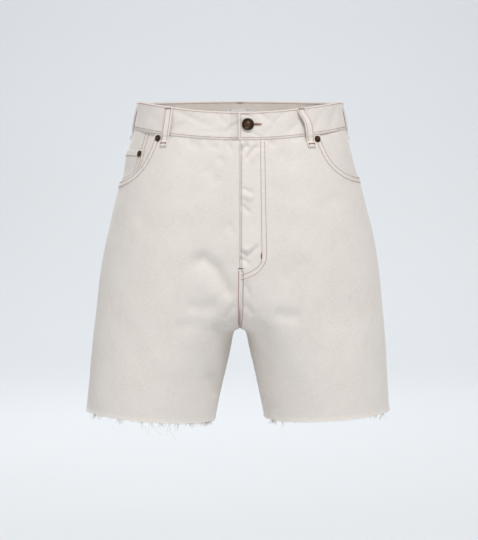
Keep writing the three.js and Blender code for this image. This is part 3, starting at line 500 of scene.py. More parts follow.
def wall(name, outer, inner, tint_and_painted_shade=0.5, left_out=None, slot="denim"):
    """The cloth of a solid: a wall between two equal grids of points, edges and cells left out closed."""
    rows, columns = outer.shape[:2]
    count = rows * columns
    points = np.concatenate([outer.reshape(-1, 3), inner.reshape(-1, 3)])
    uv = weave_uv(outer).reshape(-1, 2)
    tint_and_painted_shade = np.broadcast_to(tint_and_painted_shade, (rows, columns)).reshape(-1)
    index = np.arange(count).reshape(rows, columns)
    filled = np.ones((rows - 1, columns - 1), bool)
    if left_out is not None:
        filled &= ~left_out
    a, b, c, d = index[:-1, :-1], index[1:, :-1], index[1:, 1:], index[:-1, 1:]
    quads = np.stack([a, b, c, d], -1)[filled]
    faces = [quads, quads[:, ::-1] + count]
    ringed = np.pad(filled, 1)
    for (down, across), first, last in (((0, -1), a, b), ((0, 1), c, d), ((-1, 0), d, a), ((1, 0), b, c)):
        beside = ringed[1 + down:rows + down, 1 + across:columns + across]
        edge = filled & ~beside
        s, e = first[edge], last[edge]
        faces.append(np.stack([e, s, s + count, e + count], -1))
    faces = np.concatenate(faces)
    if signed_volume(points, faces) < 0:
        faces = faces[:, ::-1]
    piece = add_object(name + "_cloth", points, faces.tolist(), np.tile(uv, (2, 1)), np.tile(tint_and_painted_shade, 2))
    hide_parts(name)
    return piece


def layer(name, t, z, side, outer, inner, tint_and_painted_shade=0.5):
    """A piece of cloth between two offsets from the cloth's face."""
    return wall(name, cloth(t, z, side, outer), cloth(t, z, side, inner), tint_and_painted_shade)


def tube_faces(number, rings, sides, first=0):
    """Faces of closed tubes, one after another, each with its rings in order."""
    corners = [(ring * sides + k, ring * sides + (k + 1) % sides)
               for ring in range(rings - 1) for k in range(sides)]
    pattern = [(a, b, b + sides, a + sides) for a, b in corners]
    pattern.append(tuple(reversed(range(sides))))
    pattern.append(tuple(range((rings - 1) * sides, rings * sides)))
    return [tuple(first + i * rings * sides + v for v in face) for i in range(number) for face in pattern]


def grid(size):
    """Row and column shares of a grid, each from 0 to 1."""
    return np.meshgrid(np.linspace(0, 1, size[0] + 1), np.linspace(0, 1, size[1] + 1), indexing="ij")


def weave_uv(points):
    """Flat coordinates of a grid: across and down along its own rows and columns."""
    across = np.linalg.norm(np.diff(points, axis=1), axis=-1)
    down = np.linalg.norm(np.diff(points, axis=0), axis=-1)
    u = np.pad(np.cumsum(across, axis=1), ((0, 0), (1, 0)))
    v = np.pad(np.cumsum(down, axis=0), ((1, 0), (0, 0)))
    middle = u.shape[1] // 3
    return np.stack([u - u[:, middle:middle + 1], -v], -1)


# Relief of the cloth: sewn edges, hems and the layers under it

EDGE_ROLL = 0.75
EDGE_ROLL_WIDTH = 1.1
FLY_EDGE_ROLL = 0.4
FLY_EDGE_WIDTH = 0.8
HEM_STEP = 1.6
PUCKER = 0.26
PUCKER_LENGTH = 7.6
WAIST_PUCKER = 0.3
WAIST_PUCKER_REACH = 9.0
HEM_FLARE = 0.9
HEM_FLARE_REACH = 2.4
GROOVE = 0.08
RISE_GROOVE = 3.5
GROOVE_WIDTH = 1.2


def roll(distance):
    """The cloth turns in towards a sewn edge."""
    return -EDGE_ROLL * np.exp(-(np.maximum(distance, 0) / EDGE_ROLL_WIDTH)**2)


def hem_band(distance, width, height):
    """A turned-in hem of a given width beside an edge, proud of the single cloth."""
    return height * smooth((width - distance) / HEM_STEP)


def pucker(along, distance, width):
    """Small uneven waves across a sewn hem."""
    wave = np.sin(2 * math.pi * along / PUCKER_LENGTH + 1.7 * np.sin(along / 23))
    wave = wave + 0.6 * np.sin(along / 2.9 + 1)
    return PUCKER * wave * np.exp(-((distance - width / 2) / (0.6 * width))**2)


def waist_pucker(arc, depth):
    """Short uneven pleats where the cloth is gathered into the waist seam."""
    wave = np.sin(arc / 2.3 + 1.9 * np.sin(arc / 11)) + 0.7 * np.sin(arc / 5.9 + 1.0)
    return WAIST_PUCKER * wave * np.exp(-(depth / WAIST_PUCKER_REACH)**2)


def hem_flare(t, z, side):
    """The raw edge opens outwards a little, where its weave has loosened."""
    return HEM_FLARE * np.exp(-(np.maximum(z - hem_at(t, side), 0) / HEM_FLARE_REACH)**2)


def groove(distance):
    """The dip along a row of stitches."""
    return -GROOVE * np.exp(-(distance / GROOVE_WIDTH)**2)


SCOOP_ROWS = (2.6, 9.0)
SCOOP_HEM = 10.4
FELL_ROWS = (2.2, 7.8)
FELL = 9.6
FLY = {
    "width": 37.6, "bottom": -230.0, "turn": 38.0, "power": 2.4, "height": 0.55, "lap": 0.4, "lap_width": 7.0,
}
RISE_ROWS = {"left": 3.9, "right": 2.3}


def scoop_reach(from_side, side):
    """Depth of the scoop's edge below the waist seam at a distance from the side seam."""
    scoop = SCOOPS[side]
    inside = np.clip(1 - np.clip(from_side / scoop["across"], 0, 1)**SCOOP_POWER, 0, 1)
    return scoop["deep"] * inside**(1 / SCOOP_POWER)


def scoop_distance(from_side, depth, side):
    """Distance of a place outside the scoop from its edge, near enough."""
    scoop = SCOOPS[side]
    x = np.maximum(from_side, 0) / scoop["across"]
    y = np.maximum(depth, 0) / scoop["deep"]
    size = (x**SCOOP_POWER + y**SCOOP_POWER)**(1 / SCOOP_POWER)
    slope = np.hypot(x**(SCOOP_POWER - 1) / scoop["across"], y**(SCOOP_POWER - 1) / scoop["deep"])
    slope = slope / np.maximum(size, 1e-6)**(SCOOP_POWER - 1)
    return (size - 1) / np.maximum(slope, 1e-6)


def fly_distance(arc, z):
    """Distance inside the fly's outer row, which runs down and turns to the front seam."""
    x = np.maximum(arc, 0) / FLY["width"]
    y = np.maximum(FLY["bottom"] + FLY["turn"] - z, 0) / FLY["turn"]
    return (1 - (x**FLY["power"] + y**FLY["power"])**(1 / FLY["power"])) * FLY["width"]


def front_offset(t, z, side):
    """How far the finished face of a front stands out from the form."""
    arc = form.arc_of(t, z)
    from_side = form.side_arc(z) - arc
    depth = waist_at(t, side) - z
    scoop = np.maximum(scoop_distance(from_side, depth, side), 0)
    beside_scoop = depth < SCOOPS[side]["deep"] + 2 * SCOOP_HEM
    offset = np.where(beside_scoop, hem_band(scoop, SCOOP_HEM, 0.5), 0)
    offset = offset + np.where(beside_scoop, pucker(from_side - depth, scoop, SCOOP_HEM), 0)
    for row in SCOOP_ROWS:
        offset = offset + np.where(beside_scoop, groove(scoop - row), 0)
    fly = fly_distance(arc, z)
    above = smooth((z - FLY["bottom"]) / 6)
    if side > 0:
        offset = offset + FLY["height"] * smooth((fly + 1.2) / HEM_STEP)
        offset = offset + pucker(z, fly, 8.0) * (arc > 15)
        offset = offset + RISE_GROOVE * groove(arc - RISE_ROWS["left"]) * (1 - above)
        offset = offset + hem_band(arc, RISE_ROWS["left"] + 2.2, 0.45) * (1 - above)
        offset = offset + pucker(z, arc, 6.0) * 0.8
    else:
        offset = offset - FLY["lap"] * smooth((FLY["lap_width"] - arc) / FLY["lap_width"]) * above
        offset = offset + RISE_GROOVE * groove(arc - RISE_ROWS["right"]) * (1 - above)
    offset = offset + waist_pucker(arc, depth)
    seam_roll = -FLY_EDGE_ROLL * np.exp(-(arc / FLY_EDGE_WIDTH)**2) * np.where(side > 0, 1.0, 1 - above)
    edges = np.minimum.reduce([np.abs(from_side) + 0.5, depth + 0.3, scoop + 0.4])
    return offset + np.minimum(seam_roll, roll(edges)) + hem_flare(t, z, side)


def yoke_depth(t):
    return mix(YOKE["side"], YOKE["middle"], np.clip(t - 1, 0, 1))


def back_offset(t, z, side):
    """How far the finished face of a back or yoke stands out from the form."""
    arc = form.arc_of(t, z)
    from_back = form.whole_arc(z) - arc
    depth = waist_at(t, side) - z
    under_yoke = depth - yoke_depth(t)
    below = under_yoke > 0
    offset = np.where(below, hem_band(under_yoke, FELL, 0.45), 0)
    for row in FELL_ROWS:
        offset = offset + np.where(below, groove(under_yoke - row), 0)
    offset = offset + pucker(arc, np.abs(under_yoke), FELL)
    if side > 0:
        offset = offset + np.where(z > CROTCH, hem_band(from_back, FELL, 0.4) + pucker(z, from_back, FELL), 0)
        for row in FELL_ROWS:
            offset = offset + np.where(z > CROTCH, groove(from_back - row), 0)
    offset = offset + waist_pucker(arc, depth)
    edges = np.minimum.reduce([
        from_back + 0.6, arc - form.side_arc(z) + 0.5, np.abs(under_yoke) + 0.4, depth + 0.3,
    ])
    return offset + roll(edges) + hem_flare(t, z, side)


def painted_shade_and_hem_tint_at(t, z, side, offset):
    """Painted shade and painted highlight from 0 to 1: paler on what stands proud, greyer in the dips, and
    paler along the raw hem.
    """
    raw_edge = 0.5 * np.exp(-(np.maximum(z - hem_at(t, side), 0) / 3.5)**2)
    return np.clip(0.5 + 0.42 * offset + raw_edge, 0, 1)


# Panels

FRONT_GRID = (196, 108)
BACK_GRID = (168, 100)
YOKE_GRID = (30, 100)
SCOOP_SHARE = 0.42
UPPER_SHARE = 0.72
BACK_UPPER_SHARE = 0.68
SIDE_CROTCH = -290.0
LEG_SEAM_SHARES = (0, 0.012, 0.04, 0.12, 0.27, 0.48, 0.73, 1)
RISE_STEPS = 900


def seam_lengths(column, heights):
    """Length along a rise seam, at heights down it."""
    y = read_column(TORSO, SECTION_COLUMNS.index(column), heights)
    return run(np.stack([y, heights], 1))


def rise_heights(column, top, shares):
    """Heights that divide a rise seam evenly along its length, from a given top to the crotch point."""
    heights = np.linspace(top, CROTCH, RISE_STEPS)
    lengths = seam_lengths(column, heights)
    return np.interp(shares * lengths[-1], lengths, heights)


def leg_heights(down, share, t, side):
    """Heights of leg rows: down is 0 at the row through the crotch point and 1 at the hem."""
    even = np.linspace(0, 1, len(LEG_SEAM_SHARES))
    at_seam = np.interp(down, even, LEG_SEAM_SHARES)
    return mix(mix(CROTCH, SIDE_CROTCH, share), hem_at(t, side), mix(at_seam, down, share))


def trimmed_place(arc, z):
    return form.place_of(np.clip(arc, HALF_GAP, form.whole_arc(z) - HALF_GAP), z)


def front_grid(side):
    shares = grid(FRONT_GRID)[1]
    scoop = SCOOPS[side]
    upper_rows = int(FRONT_GRID[0] * UPPER_SHARE)
    u = np.linspace(0, 1, upper_rows + 1)[:, None]
    share = shares[:upper_rows + 1]
    angle = np.clip(u / SCOOP_SHARE, 0, 1) * math.pi / 2
    below = np.clip((u - SCOOP_SHARE) / (1 - SCOOP_SHARE), 0, 1)
    from_side = scoop["across"] * np.clip(np.cos(angle), 0, 1)**(2 / SCOOP_POWER)
    from_side = np.where(u >= SCOOP_SHARE, HALF_GAP, np.maximum(from_side, HALF_GAP))
    on_scoop = scoop["deep"] * np.sin(angle)**(2 / SCOOP_POWER)
    on_side = mix(scoop["deep"], WAIST_SEAM["side"] - SIDE_CROTCH, below)
    edge_depth = np.maximum(np.where(u < SCOOP_SHARE, on_scoop, on_side), HALF_GAP)
    seam_z = rise_heights("seam_front", WAIST_SEAM["front"] - HALF_GAP, u)
    depth = mix(WAIST_SEAM["front"] - seam_z, edge_depth, share)
    edge_z = WAIST_SEAM["side"] - edge_depth
    t = share * form.place_of(form.side_arc(edge_z) - from_side, edge_z)
    z = np.maximum(waist_at(t, side) - depth, mix(seam_z, SIDE_CROTCH, share))
    arc = np.where(share == 1, form.side_arc(z) - from_side, form.arc_of(t, z))
    down = np.linspace(0, 1, FRONT_GRID[0] - upper_rows + 1)[1:, None]
    leg_share = shares[upper_rows + 1:]
    leg_z = leg_heights(down, leg_share, leg_share, side)
    leg_arc = np.where(leg_share == 1, form.side_arc(leg_z) - HALF_GAP, form.arc_of(leg_share, leg_z))
    z = np.concatenate([z, leg_z])
    return trimmed_place(np.concatenate([arc, leg_arc]), z), z


def back_grid(side):
    shares = grid(BACK_GRID)[1]
    upper_rows = int(BACK_GRID[0] * BACK_UPPER_SHARE)
    u = np.linspace(0, 1, upper_rows + 1)[:, None]
    share = shares[:upper_rows + 1]
    top_z = WAIST_SEAM["back"] - YOKE["middle"] - HALF_GAP
    seam_z = rise_heights("seam_back", top_z, u)
    t = 1 + share
    top = waist_at(t, side) - yoke_depth(t) - HALF_GAP
    bottom = mix(SIDE_CROTCH, CROTCH, share)
    z = mix(top, bottom, mix(u, (top_z - seam_z) / (top_z - CROTCH), share))
    down = np.linspace(0, 1, BACK_GRID[0] - upper_rows + 1)[1:, None]
    leg_share = shares[upper_rows + 1:]
    leg_z = leg_heights(down, 1 - leg_share, 1 + leg_share, side)
    t = np.concatenate([t, 1 + leg_share])
    z = np.concatenate([z, leg_z])
    arc = np.where(t == 1, form.side_arc(z) + HALF_GAP, form.arc_of(t, z))
    return trimmed_place(arc, z), z


def yoke_grid(side):
    rows, shares = grid(YOKE_GRID)
    t = 1 + shares
    z = waist_at(t, side) - mix(HALF_GAP, yoke_depth(t) - HALF_GAP, rows)
    arc = np.where(shares == 0, form.side_arc(z) + HALF_GAP, form.arc_of(t, z))
    return trimmed_place(arc, z), z


def build_panel(name, places, offset_of, side):
    t, z = places
    offset = offset_of(t, z, side)
    inner = np.minimum(-DENIM, offset - 0.5 * DENIM)
    # The panel's tint is painted shade in its dips and rolled edges and painted highlight on its proud hems.
    return layer(name, t, z, side, offset, inner, painted_shade_and_hem_tint_at(t, z, side, offset))


# Pockets

POCKET_SHEET = {
    "across": 142.0, "deep": 168.0, "corner": 40.0, "corner_power": 2.4, "thick": 1.0, "gap": 1.3,
    "flush": -0.1,
}
FACING_RISE = {"full": 0.1, "none": 0.62}
POCKET_GRID = (64, 64)
COIN = {
    "hem_at_edge": 24.4, "hem_at_side": 30.4, "inner": 88.0, "thick": 1.1, "shell": 0.88,
    "from_side": 1.5, "hem": 10.8, "tuck": 4.0,
}
COIN_GRID = (44, 76)
LAYER_GAP = 0.6


def below_waist(from_side, depth, side):
    t = form.place_of(form.side_arc(WAIST_SEAM["side"]) - from_side, WAIST_SEAM["side"])
    z = waist_at(t, side) - depth
    return form.place_of(form.side_arc(z) - from_side, z), z


def facing_offset(from_side, depth, side):
    """The facing lies flush with the panels and dips behind the scoop's edge."""
    scoop = SCOOPS[side]
    edge = (from_side / scoop["across"])**SCOOP_POWER + (np.maximum(depth, 0) / scoop["deep"])**SCOOP_POWER
    rise = smooth((FACING_RISE["none"] - edge) / (FACING_RISE["none"] - FACING_RISE["full"]))
    lift = (DENIM + POCKET_SHEET["gap"] + POCKET_SHEET["flush"]) * rise
    return lift - DENIM - POCKET_SHEET["gap"] + roll(np.minimum(from_side + 0.5, depth + 0.3))


def build_pocket(side, name):
    rows, shares = grid(POCKET_GRID)
    from_side = mix(HALF_GAP, POCKET_SHEET["across"], shares)
    corner = POCKET_SHEET["corner"]
    past = np.maximum(0, from_side - POCKET_SHEET["across"] + corner) / corner
    depth = mix(SEAM_GAP, POCKET_SHEET["deep"] - corner * past**POCKET_SHEET["corner_power"], rows)
    t, z = below_waist(from_side, depth, side)
    outer = facing_offset(from_side, depth, side)
    return layer(name, t, z, side, outer, outer - POCKET_SHEET["thick"])


def coin_top(from_side):
    return mix(COIN["hem_at_side"], COIN["hem_at_edge"], (from_side - COIN["from_side"]) / COIN["inner"])


def coin_offset(from_side, depth, side):
    """The coin pocket lies on the facing and runs on behind the scoop's edge."""
    top = coin_top(from_side)
    seat = LAYER_GAP + facing_offset(from_side, depth, side)
    under = smooth((4.0 + scoop_distance(from_side, depth, side)) / 3.0)
    hem = hem_band(depth - top, COIN["hem"], 0.45) + pucker(from_side, depth - top, COIN["hem"])
    edges = np.minimum.reduce([depth - top + 0.3, COIN["inner"] - from_side + 0.3])
    offset = seat + COIN["thick"] + hem + 0.7 * roll(edges)
    return mix(offset, np.minimum(offset, -DENIM - 0.2), under)


def build_coin_pocket():
    side = -1
    rows, shares = grid(COIN_GRID)
    from_side = mix(COIN["from_side"], COIN["inner"], shares)
    depth = mix(coin_top(from_side), scoop_reach(from_side, side) + COIN["tuck"], rows)
    t, z = below_waist(from_side, depth, side)
    outer = coin_offset(from_side, depth, side)
    # Painted highlight and shade: the coin pocket is tinted paler for standing proud of the front, more on its
    # hem, darker at its rounded edges.
    return layer("coin_pocket", t, z, side, outer, outer - COIN["shell"], np.clip(0.5 + 0.3 * outer, 0, 1))


BACK_POCKET = {
    "middle": 85.0, "top_width": 148.0, "bottom_width": 128.0, "side_height": 130.0, "tip_height": 152.0,
    "top": 96.0, "top_tilt": 0.06, "thick": 1.3, "hem": 23.0, "rows": (2.2, 8.4), "hem_rows": (3.0, 20.0),
    "slack": 0.7,
}
BACK_POCKET_GRID = (72, 70)


def back_pocket_place(across, down):
    """across is from -1 at the outer side to 1 at the inner side, down from 0 to 1."""
    pocket = BACK_POCKET
    width = mix(pocket["top_width"], pocket["bottom_width"], down)
    from_back = pocket["middle"] - across * width / 2
    tall = mix(pocket["tip_height"], pocket["side_height"], np.abs(across))
    tilt = pocket["top_tilt"] * (from_back - pocket["middle"])
    z = WAIST_SEAM["back"] - pocket["top"] + tilt - tall * down
    return form.place_of(form.whole_arc(z) - from_back, z), z


def back_pocket_edges(across, down):
    half = mix(BACK_POCKET["top_width"], BACK_POCKET["bottom_width"], down) / 2
    tall = mix(BACK_POCKET["tip_height"], BACK_POCKET["side_height"], np.abs(across))
    return (1 - np.abs(across)) * half, down * tall, (1 - down) * tall


def back_pocket_slack(across, down):
    return BACK_POCKET["slack"] * np.clip(1 - across**2, 0, 1) * smooth(1 - down * 2.2)


def back_pocket_offset(across, down):
    from_side, from_top, from_bottom = back_pocket_edges(across, down)
    sewn = np.minimum(from_side, from_bottom)
    offset = LAYER_GAP + BACK_POCKET["thick"] + hem_band(from_top, BACK_POCKET["hem"], 0.35)
    offset = offset + pucker(down * 150 + across * 70, sewn, 9.0)
    for row in BACK_POCKET["rows"]:
        offset = offset + groove(sewn - row)
    for row in BACK_POCKET["hem_rows"]:
        offset = offset + groove(from_top - row)
    return offset + roll(np.minimum(sewn, from_top) + 0.2) + back_pocket_slack(across, down)


def build_back_pocket(side, name):
    down, shares = grid(BACK_POCKET_GRID)
    across = 2 * shares - 1
    t, z = back_pocket_place(across, down)
    outer = back_pocket_offset(across, down)
    inner = np.minimum(0.5 * LAYER_GAP + back_pocket_slack(across, down), outer - 0.5)
    # Painted highlight and shade: the back pocket is tinted paler for standing proud of the panel, more on its
    # hem, darker in its rows and rounded edges.
    return layer(name, t, z, side, outer, inner, np.clip(0.1 + 0.35 * outer, 0, 1))


# Fly

UNDERLAP = {"right": -14.0, "left": 36.0, "bottom": -212.0, "thick": 1.5, "outer": -2.3}
UNDERLAP_GRID = (92, 28)


def across_front(x, z, offset):
    """Points across the middle of the front, where x is the distance from the front seam."""
    t = form.place_of(np.abs(x), z)
    offset = np.broadcast_to(offset, np.shape(t))
    return np.where((x < 0)[..., None], cloth(t, z, -1, offset), cloth(t, z, 1, offset))


def build_underlap():
    rows, shares = grid(UNDERLAP_GRID)
    x = mix(UNDERLAP["right"], UNDERLAP["left"], shares)
    z = mix(WAIST_SEAM["front"] - SEAM_GAP, UNDERLAP["bottom"], rows)
    faces = [across_front(x, z, UNDERLAP["outer"] - thick) for thick in (0, UNDERLAP["thick"])]
    return wall("fly_underlap", *faces)


# Waistband

BAND_ROWS = 40
BAND_STEP = 2.5
BAND_FINE = 45.0
BAND_FINE_STEP = 0.9
BAND_EDGE = {"depth": 1.3, "width": 0.9, "inner": 1.7}
FAR = 99.0
BAND_SEWN = {"top": 2.4, "bottom": 3.4, "end": 3.4}
# Soft creases: distance round from the front's middle, level, half length, slope, half width and depth
BAND_CREASES = (
    (150, 0.55, 26, 0.9, 7, -1.4), (128, 0.3, 30, -1.2, 6, -1.0), (84, 0.62, 22, 1.4, 6, -1.5),
    (60, 0.35, 26, 0.4, 7, -1.0), (36, 0.75, 16, -0.7, 4, -1.4), (44, 0.4, 22, 0.8, 4, -1.0),
    (4, 0.62, 7, 0.9, 2.2, -1.5), (-16, 0.3, 16, 0.7, 4, -1.5), (-24, 0.7, 14, -1.0, 4, -1.0),
    (-54, 0.45, 26, 0.25, 7, -1.0), (-34, 0.28, 30, 0.1, 4, -1.0), (-132, 0.5, 26, -0.5, 8, -0.8),
    (240, 0.5, 30, 0.8, 8, -1.2), (-236, 0.45, 30, -0.7, 8, -1.2), (330, 0.6, 34, 0.3, 9, -0.8),
    (-320, 0.4, 34, -0.4, 9, -1.0), (395, 0.5, 26, 0.9, 8, -0.7),
    (9, 0.86, 8, -0.12, 1.8, -1.6), (96, 0.7, 16, 1.6, 3, -1.6), (110, 0.35, 18, 1.3, 4, -1.3),
    (-70, 0.7, 24, -0.3, 4, -1.4), (-92, 0.3, 20, 0.5, 4, -1.3), (20, 0.2, 10, -0.5, 3, -1.4),
    (-8, 0.55, 12, 0.6, 2.5, -1.4), (70, 0.25, 18, 0.6, 4, -1.4), (54, 0.72, 14, 0.9, 3, -1.3),
)
BUTTON = {"x": 10.8, "z": -13.2, "hole_from": 8.0, "hole_to": 29.0, "hole_half": 0.75, "eye": 2.3}


def ring_place(distance, z):
    """t and side of a distance round the whole waist, from the middle of the front towards the left."""
    half = form.whole_arc(z)
    past = distance - 2 * half
    ranges = [distance < 0, distance <= half, distance <= 2 * half]
    arc = np.select(ranges, [-distance, distance, -past], past)
    is_left = ((distance >= 0) & (distance <= half)) | (distance > 2 * half)
    return form.place_of(arc, z), is_left


def ring_point(distance, z, offset):
    t, is_left = ring_place(distance, z)
    return np.where(is_left[..., None], cloth(t, z, 1, offset), cloth(t, z, -1, offset))


def band_seam(share, length):
    """Height of the waist seam and the way round, for columns of the band."""
    half = float(form.whole_arc(WAIST_SEAM["side"]))
    around = np.mod(share * 2 * half + length, 2 * half)
    left = around <= half
    t = form.place_of(np.where(left, around, 2 * half - around), WAIST_SEAM["side"])
    return np.where(left, waist_at(t, 1), waist_at(t, -1)), around


def band_columns():
    """Columns of the band, as a share of the whole way round and a length past it."""
    round_ = 2 * float(form.whole_arc(WAIST_SEAM["side"]))
    upper = np.arange(BAND_UPPER_END, BAND_FINE, BAND_FINE_STEP)
    clear = BAND_FINE + BAND_STEP
    middle = np.linspace(clear / round_, 1 - clear / round_, int((round_ - 2 * clear) / BAND_STEP))
    under = np.arange(-BAND_FINE, BAND_UNDER_END + BAND_FINE_STEP, BAND_FINE_STEP)
    share = np.concatenate([np.zeros(len(upper)), middle, np.ones(len(under))])
    return share, np.concatenate([upper, np.zeros(len(middle)), under])


def band_crease(around, level):
    half = float(form.whole_arc(WAIST_SEAM["side"]))
    signed = np.where(around > half, around - 2 * half, around)
    push = np.zeros(np.broadcast(signed, level).shape)
    for centre, at, length, slope, width, depth in BAND_CREASES:
        x = signed - centre
        y = (level - at) * BAND_HEIGHT
        angle = math.atan(slope)
        along = x * math.cos(angle) + y * math.sin(angle)
        across = -x * math.sin(angle) + y * math.cos(angle)
        push = push + depth * np.exp(-(across / width)**2 - (along / length)**2)
    return push


def band_offset(share, length, level):
    """How far the band's outer and inner faces stand out from the form, its rows of stitches sunk."""
    around = band_seam(share, length)[1]
    from_top, from_seam = (1 - level) * BAND_HEIGHT, level * BAND_HEIGHT
    to_end = np.where(share == 0, length - BAND_UPPER_END, np.where(share == 1, BAND_UNDER_END - length, FAR))
    to_edge = np.minimum(np.minimum(from_top, from_seam), to_end)
    rounding = -BAND_EDGE["depth"] * np.exp(-(to_edge / BAND_EDGE["width"])**2)
    rows = groove(from_top - BAND_SEWN["top"]) + groove(from_seam - BAND_SEWN["bottom"])
    rope = pucker(around + from_top, np.minimum(from_top, from_seam), 5.0)
    dive = np.where(share == 1, smooth((length + BAND_DIVE) / (BAND_DIVE + BAND_UPPER_END - SEAM_GAP)), 0)
    inwards = dive * (BAND_THICK + BAND_LAP_GAP)
    outer = BAND_PROUD + rounding + rows + rope + band_crease(around, level) - inwards
    return outer, outer - BAND_THICK - BAND_EDGE["inner"] * rounding


def band_place(share, length, level):
    z = band_seam(share, length)[0] + BAND_HEIGHT * np.maximum(level, HALF_GAP / BAND_HEIGHT)
    return share * 2 * form.whole_arc(z) + length, z


def build_band():
    share, length = band_columns()
    level = np.linspace(1, 0, BAND_ROWS + 1)[:, None]
    distance, z = band_place(share, length, level)
    outer, inner = band_offset(share, length, level)
    # Painted shade and highlight: the band is tinted from its relief without the creases, darker at its
    # rounded edges, rows of stitches and the end that dives under, paler on its puckers.
    crease = band_crease(band_seam(share, length)[1], level)
    tint_and_painted_shade = np.clip(0.5 + 0.9 * (outer - BAND_PROUD - crease), 0.1, 0.9)
    faces = [ring_point(distance, z, offset) for offset in (outer, inner)]
    return wall("waistband", *faces, tint_and_painted_shade, band_hole(share, length, z))


def band_hole(share, length, z):
    """Cells of the buttonhole: an eye round the shank, then a narrow slit."""
    x = 0.5 * (length[1:] + length[:-1])
    middle = 0.25 * (z[1:, 1:] + z[1:, :-1] + z[:-1, 1:] + z[:-1, :-1])
    upper = (share[1:] == 0) & (share[:-1] == 0)
    half = np.where(np.abs(x - BUTTON["x"]) < BUTTON["eye"], BUTTON["eye"], BUTTON["hole_half"])
    inside = (x > BUTTON["hole_from"]) & (x < BUTTON["hole_to"]) & upper
    return inside[None, :] & (np.abs(middle - BUTTON["z"]) < half[None, :])


# Belt loops

LOOP = {
    "width": 11.4, "thick": 1.8, "top": 38.4, "bottom": -15.5, "tack_gap": 0.35, "fold_thick": 2.7,
    "foot": 0.115, "head": 0.955, "seat_rise": 3.0, "slant_from": 0.55, "row": 1.9,
}
LOOP_GRID = (112, 22)
LOOP_COLUMNS = ("name", "side", "arc", "bow", "slant")
LOOPS = [dict(zip(LOOP_COLUMNS, row)) for row in (
    ("belt_loop_front_left", 1, 95.0, 5.2, 6.0),
    ("belt_loop_front_right", -1, 103.0, 2.6, -2.0),
    ("belt_loop_side_left", 1, 226.0, 1.6, 0.0),
    ("belt_loop_side_right", -1, 226.0, 1.6, 0.0),
    ("belt_loop_back", 1, None, 6.2, 0.0),
)]
# Height as a share of the loop from its foot, and the share of its bow there
LOOP_PATH = ((0, 0), (0.1, 0), (0.17, 0.12), (0.28, 0.62), (0.42, 0.96), (0.56, 1),
             (0.7, 0.86), (0.82, 0.46), (0.9, 0.12), (0.95, 0), (1, 0))
LOOP_SMOOTHING = 6


def loop_bow(share):
    path = np.array(LOOP_PATH, float)
    fine = np.linspace(0, 1, 200)
    raw = np.pad(np.interp(fine, path[:, 0], path[:, 1]), LOOP_SMOOTHING, mode="edge")
    width = 2 * LOOP_SMOOTHING + 1
    return np.interp(share, fine, np.convolve(raw, np.ones(width) / width, mode="valid"))


def loop_thickness(share, across):
    edge = LOOP["width"] / 2 - np.abs(across)
    ends = smooth((share - LOOP["foot"]) / 0.02) * smooth((LOOP["head"] - share) / 0.02)
    tip = 0.8 * (np.exp(-(share / 0.012)**2) + np.exp(-((1 - share) / 0.012)**2))
    rim = 0.6 * np.exp(-(edge / 0.7)**2)
    return mix(LOOP["fold_thick"], LOOP["thick"], ends) - rim - tip + groove(edge - LOOP["row"])


def loop_points(loop, share, across, lift):
    """Points on a loop: share up from its foot, across in millimetres, lift above its inner face."""
    side, arc = loop["side"], loop["arc"]
    place = 2.0 if arc is None else float(form.place_of(arc, WAIST_SEAM["side"]))
    height = mix(LOOP["bottom"], LOOP["top"], share)
    z = float(waist_at(place, side)) + height
    lean = loop["slant"] * smooth((share - LOOP["slant_from"]) / (1 - LOOP["slant_from"]))
    middle = form.arc_of(np.full(np.shape(z), place), z) - lean + across
    seat = BAND_PROUD * smooth((height + LOOP["seat_rise"]) / LOOP["seat_rise"]) + LOOP["tack_gap"]
    distance = middle if side > 0 else 2 * form.whole_arc(z) - middle
    return ring_point(distance, z, seat + loop["bow"] * loop_bow(share) + lift)


def build_loop(loop):
    rows, shares = grid(LOOP_GRID)
    across = (shares - 0.5) * LOOP["width"]
    thick = loop_thickness(rows, across)
    faces = [loop_points(loop, rows, across, lift) for lift in (thick, np.zeros(thick.shape))]
    # Painted shade and highlight: each loop is tinted by its thickness, paler at its thick folded ends, darker
    # at its thinned rims, tips and rows of stitches.
    return wall(loop["name"], *faces, tint_and_painted_shade=np.clip(thick / LOOP["fold_thick"], 0, 1))


# Label

LABEL = {"width": 37.0, "height": 24.0, "below": 12.0, "thick": 0.7, "sag": 0.5}
LABEL_GRID = (24, 36)


def label_points(share, down, lift):
    z = WAIST_SEAM["back"] + BAND_HEIGHT - LABEL["below"] - LABEL["height"] * down
    distance = form.whole_arc(z) + (share - 0.5) * LABEL["width"]
    sag = LABEL["sag"] * np.sin(math.pi * share) * smooth(down)
    return ring_point(distance, z, BAND_PROUD - BAND_THICK - SEAM_GAP - sag - lift)


def build_label():
    rows, shares = grid(LABEL_GRID)
    faces = [label_points(shares, rows, lift) for lift in (0, LABEL["thick"])]
    return wall("back_label", *faces, tint_and_painted_shade=0.6, slot="label")


# Sewing: rows of stitches lie on the cloth as short rounded threads

STITCH = {"pitch": 3.5, "length": 2.5, "width": 0.95, "height": 0.55, "sink": 0.08}
STITCH_SIDES = 6
STITCH_RINGS = ((0.0, 0.25), (0.14, 0.85), (0.5, 1.0), (0.86, 0.85), (1.0, 0.25))
STITCH_SAG = 0.22
STITCH_WOBBLE = 0.12
TINT_SPREAD = 0.2
TACK = {"pitch": 0.62, "overlap": 1.05, "height": 0.7, "lean": 0.25}
SEAM_STEP = 0.5


def read_path(values, length, at):
    """Values given along a path, read at other lengths along it."""
    return np.stack([np.interp(at, length, column) for column in values.T], 1)


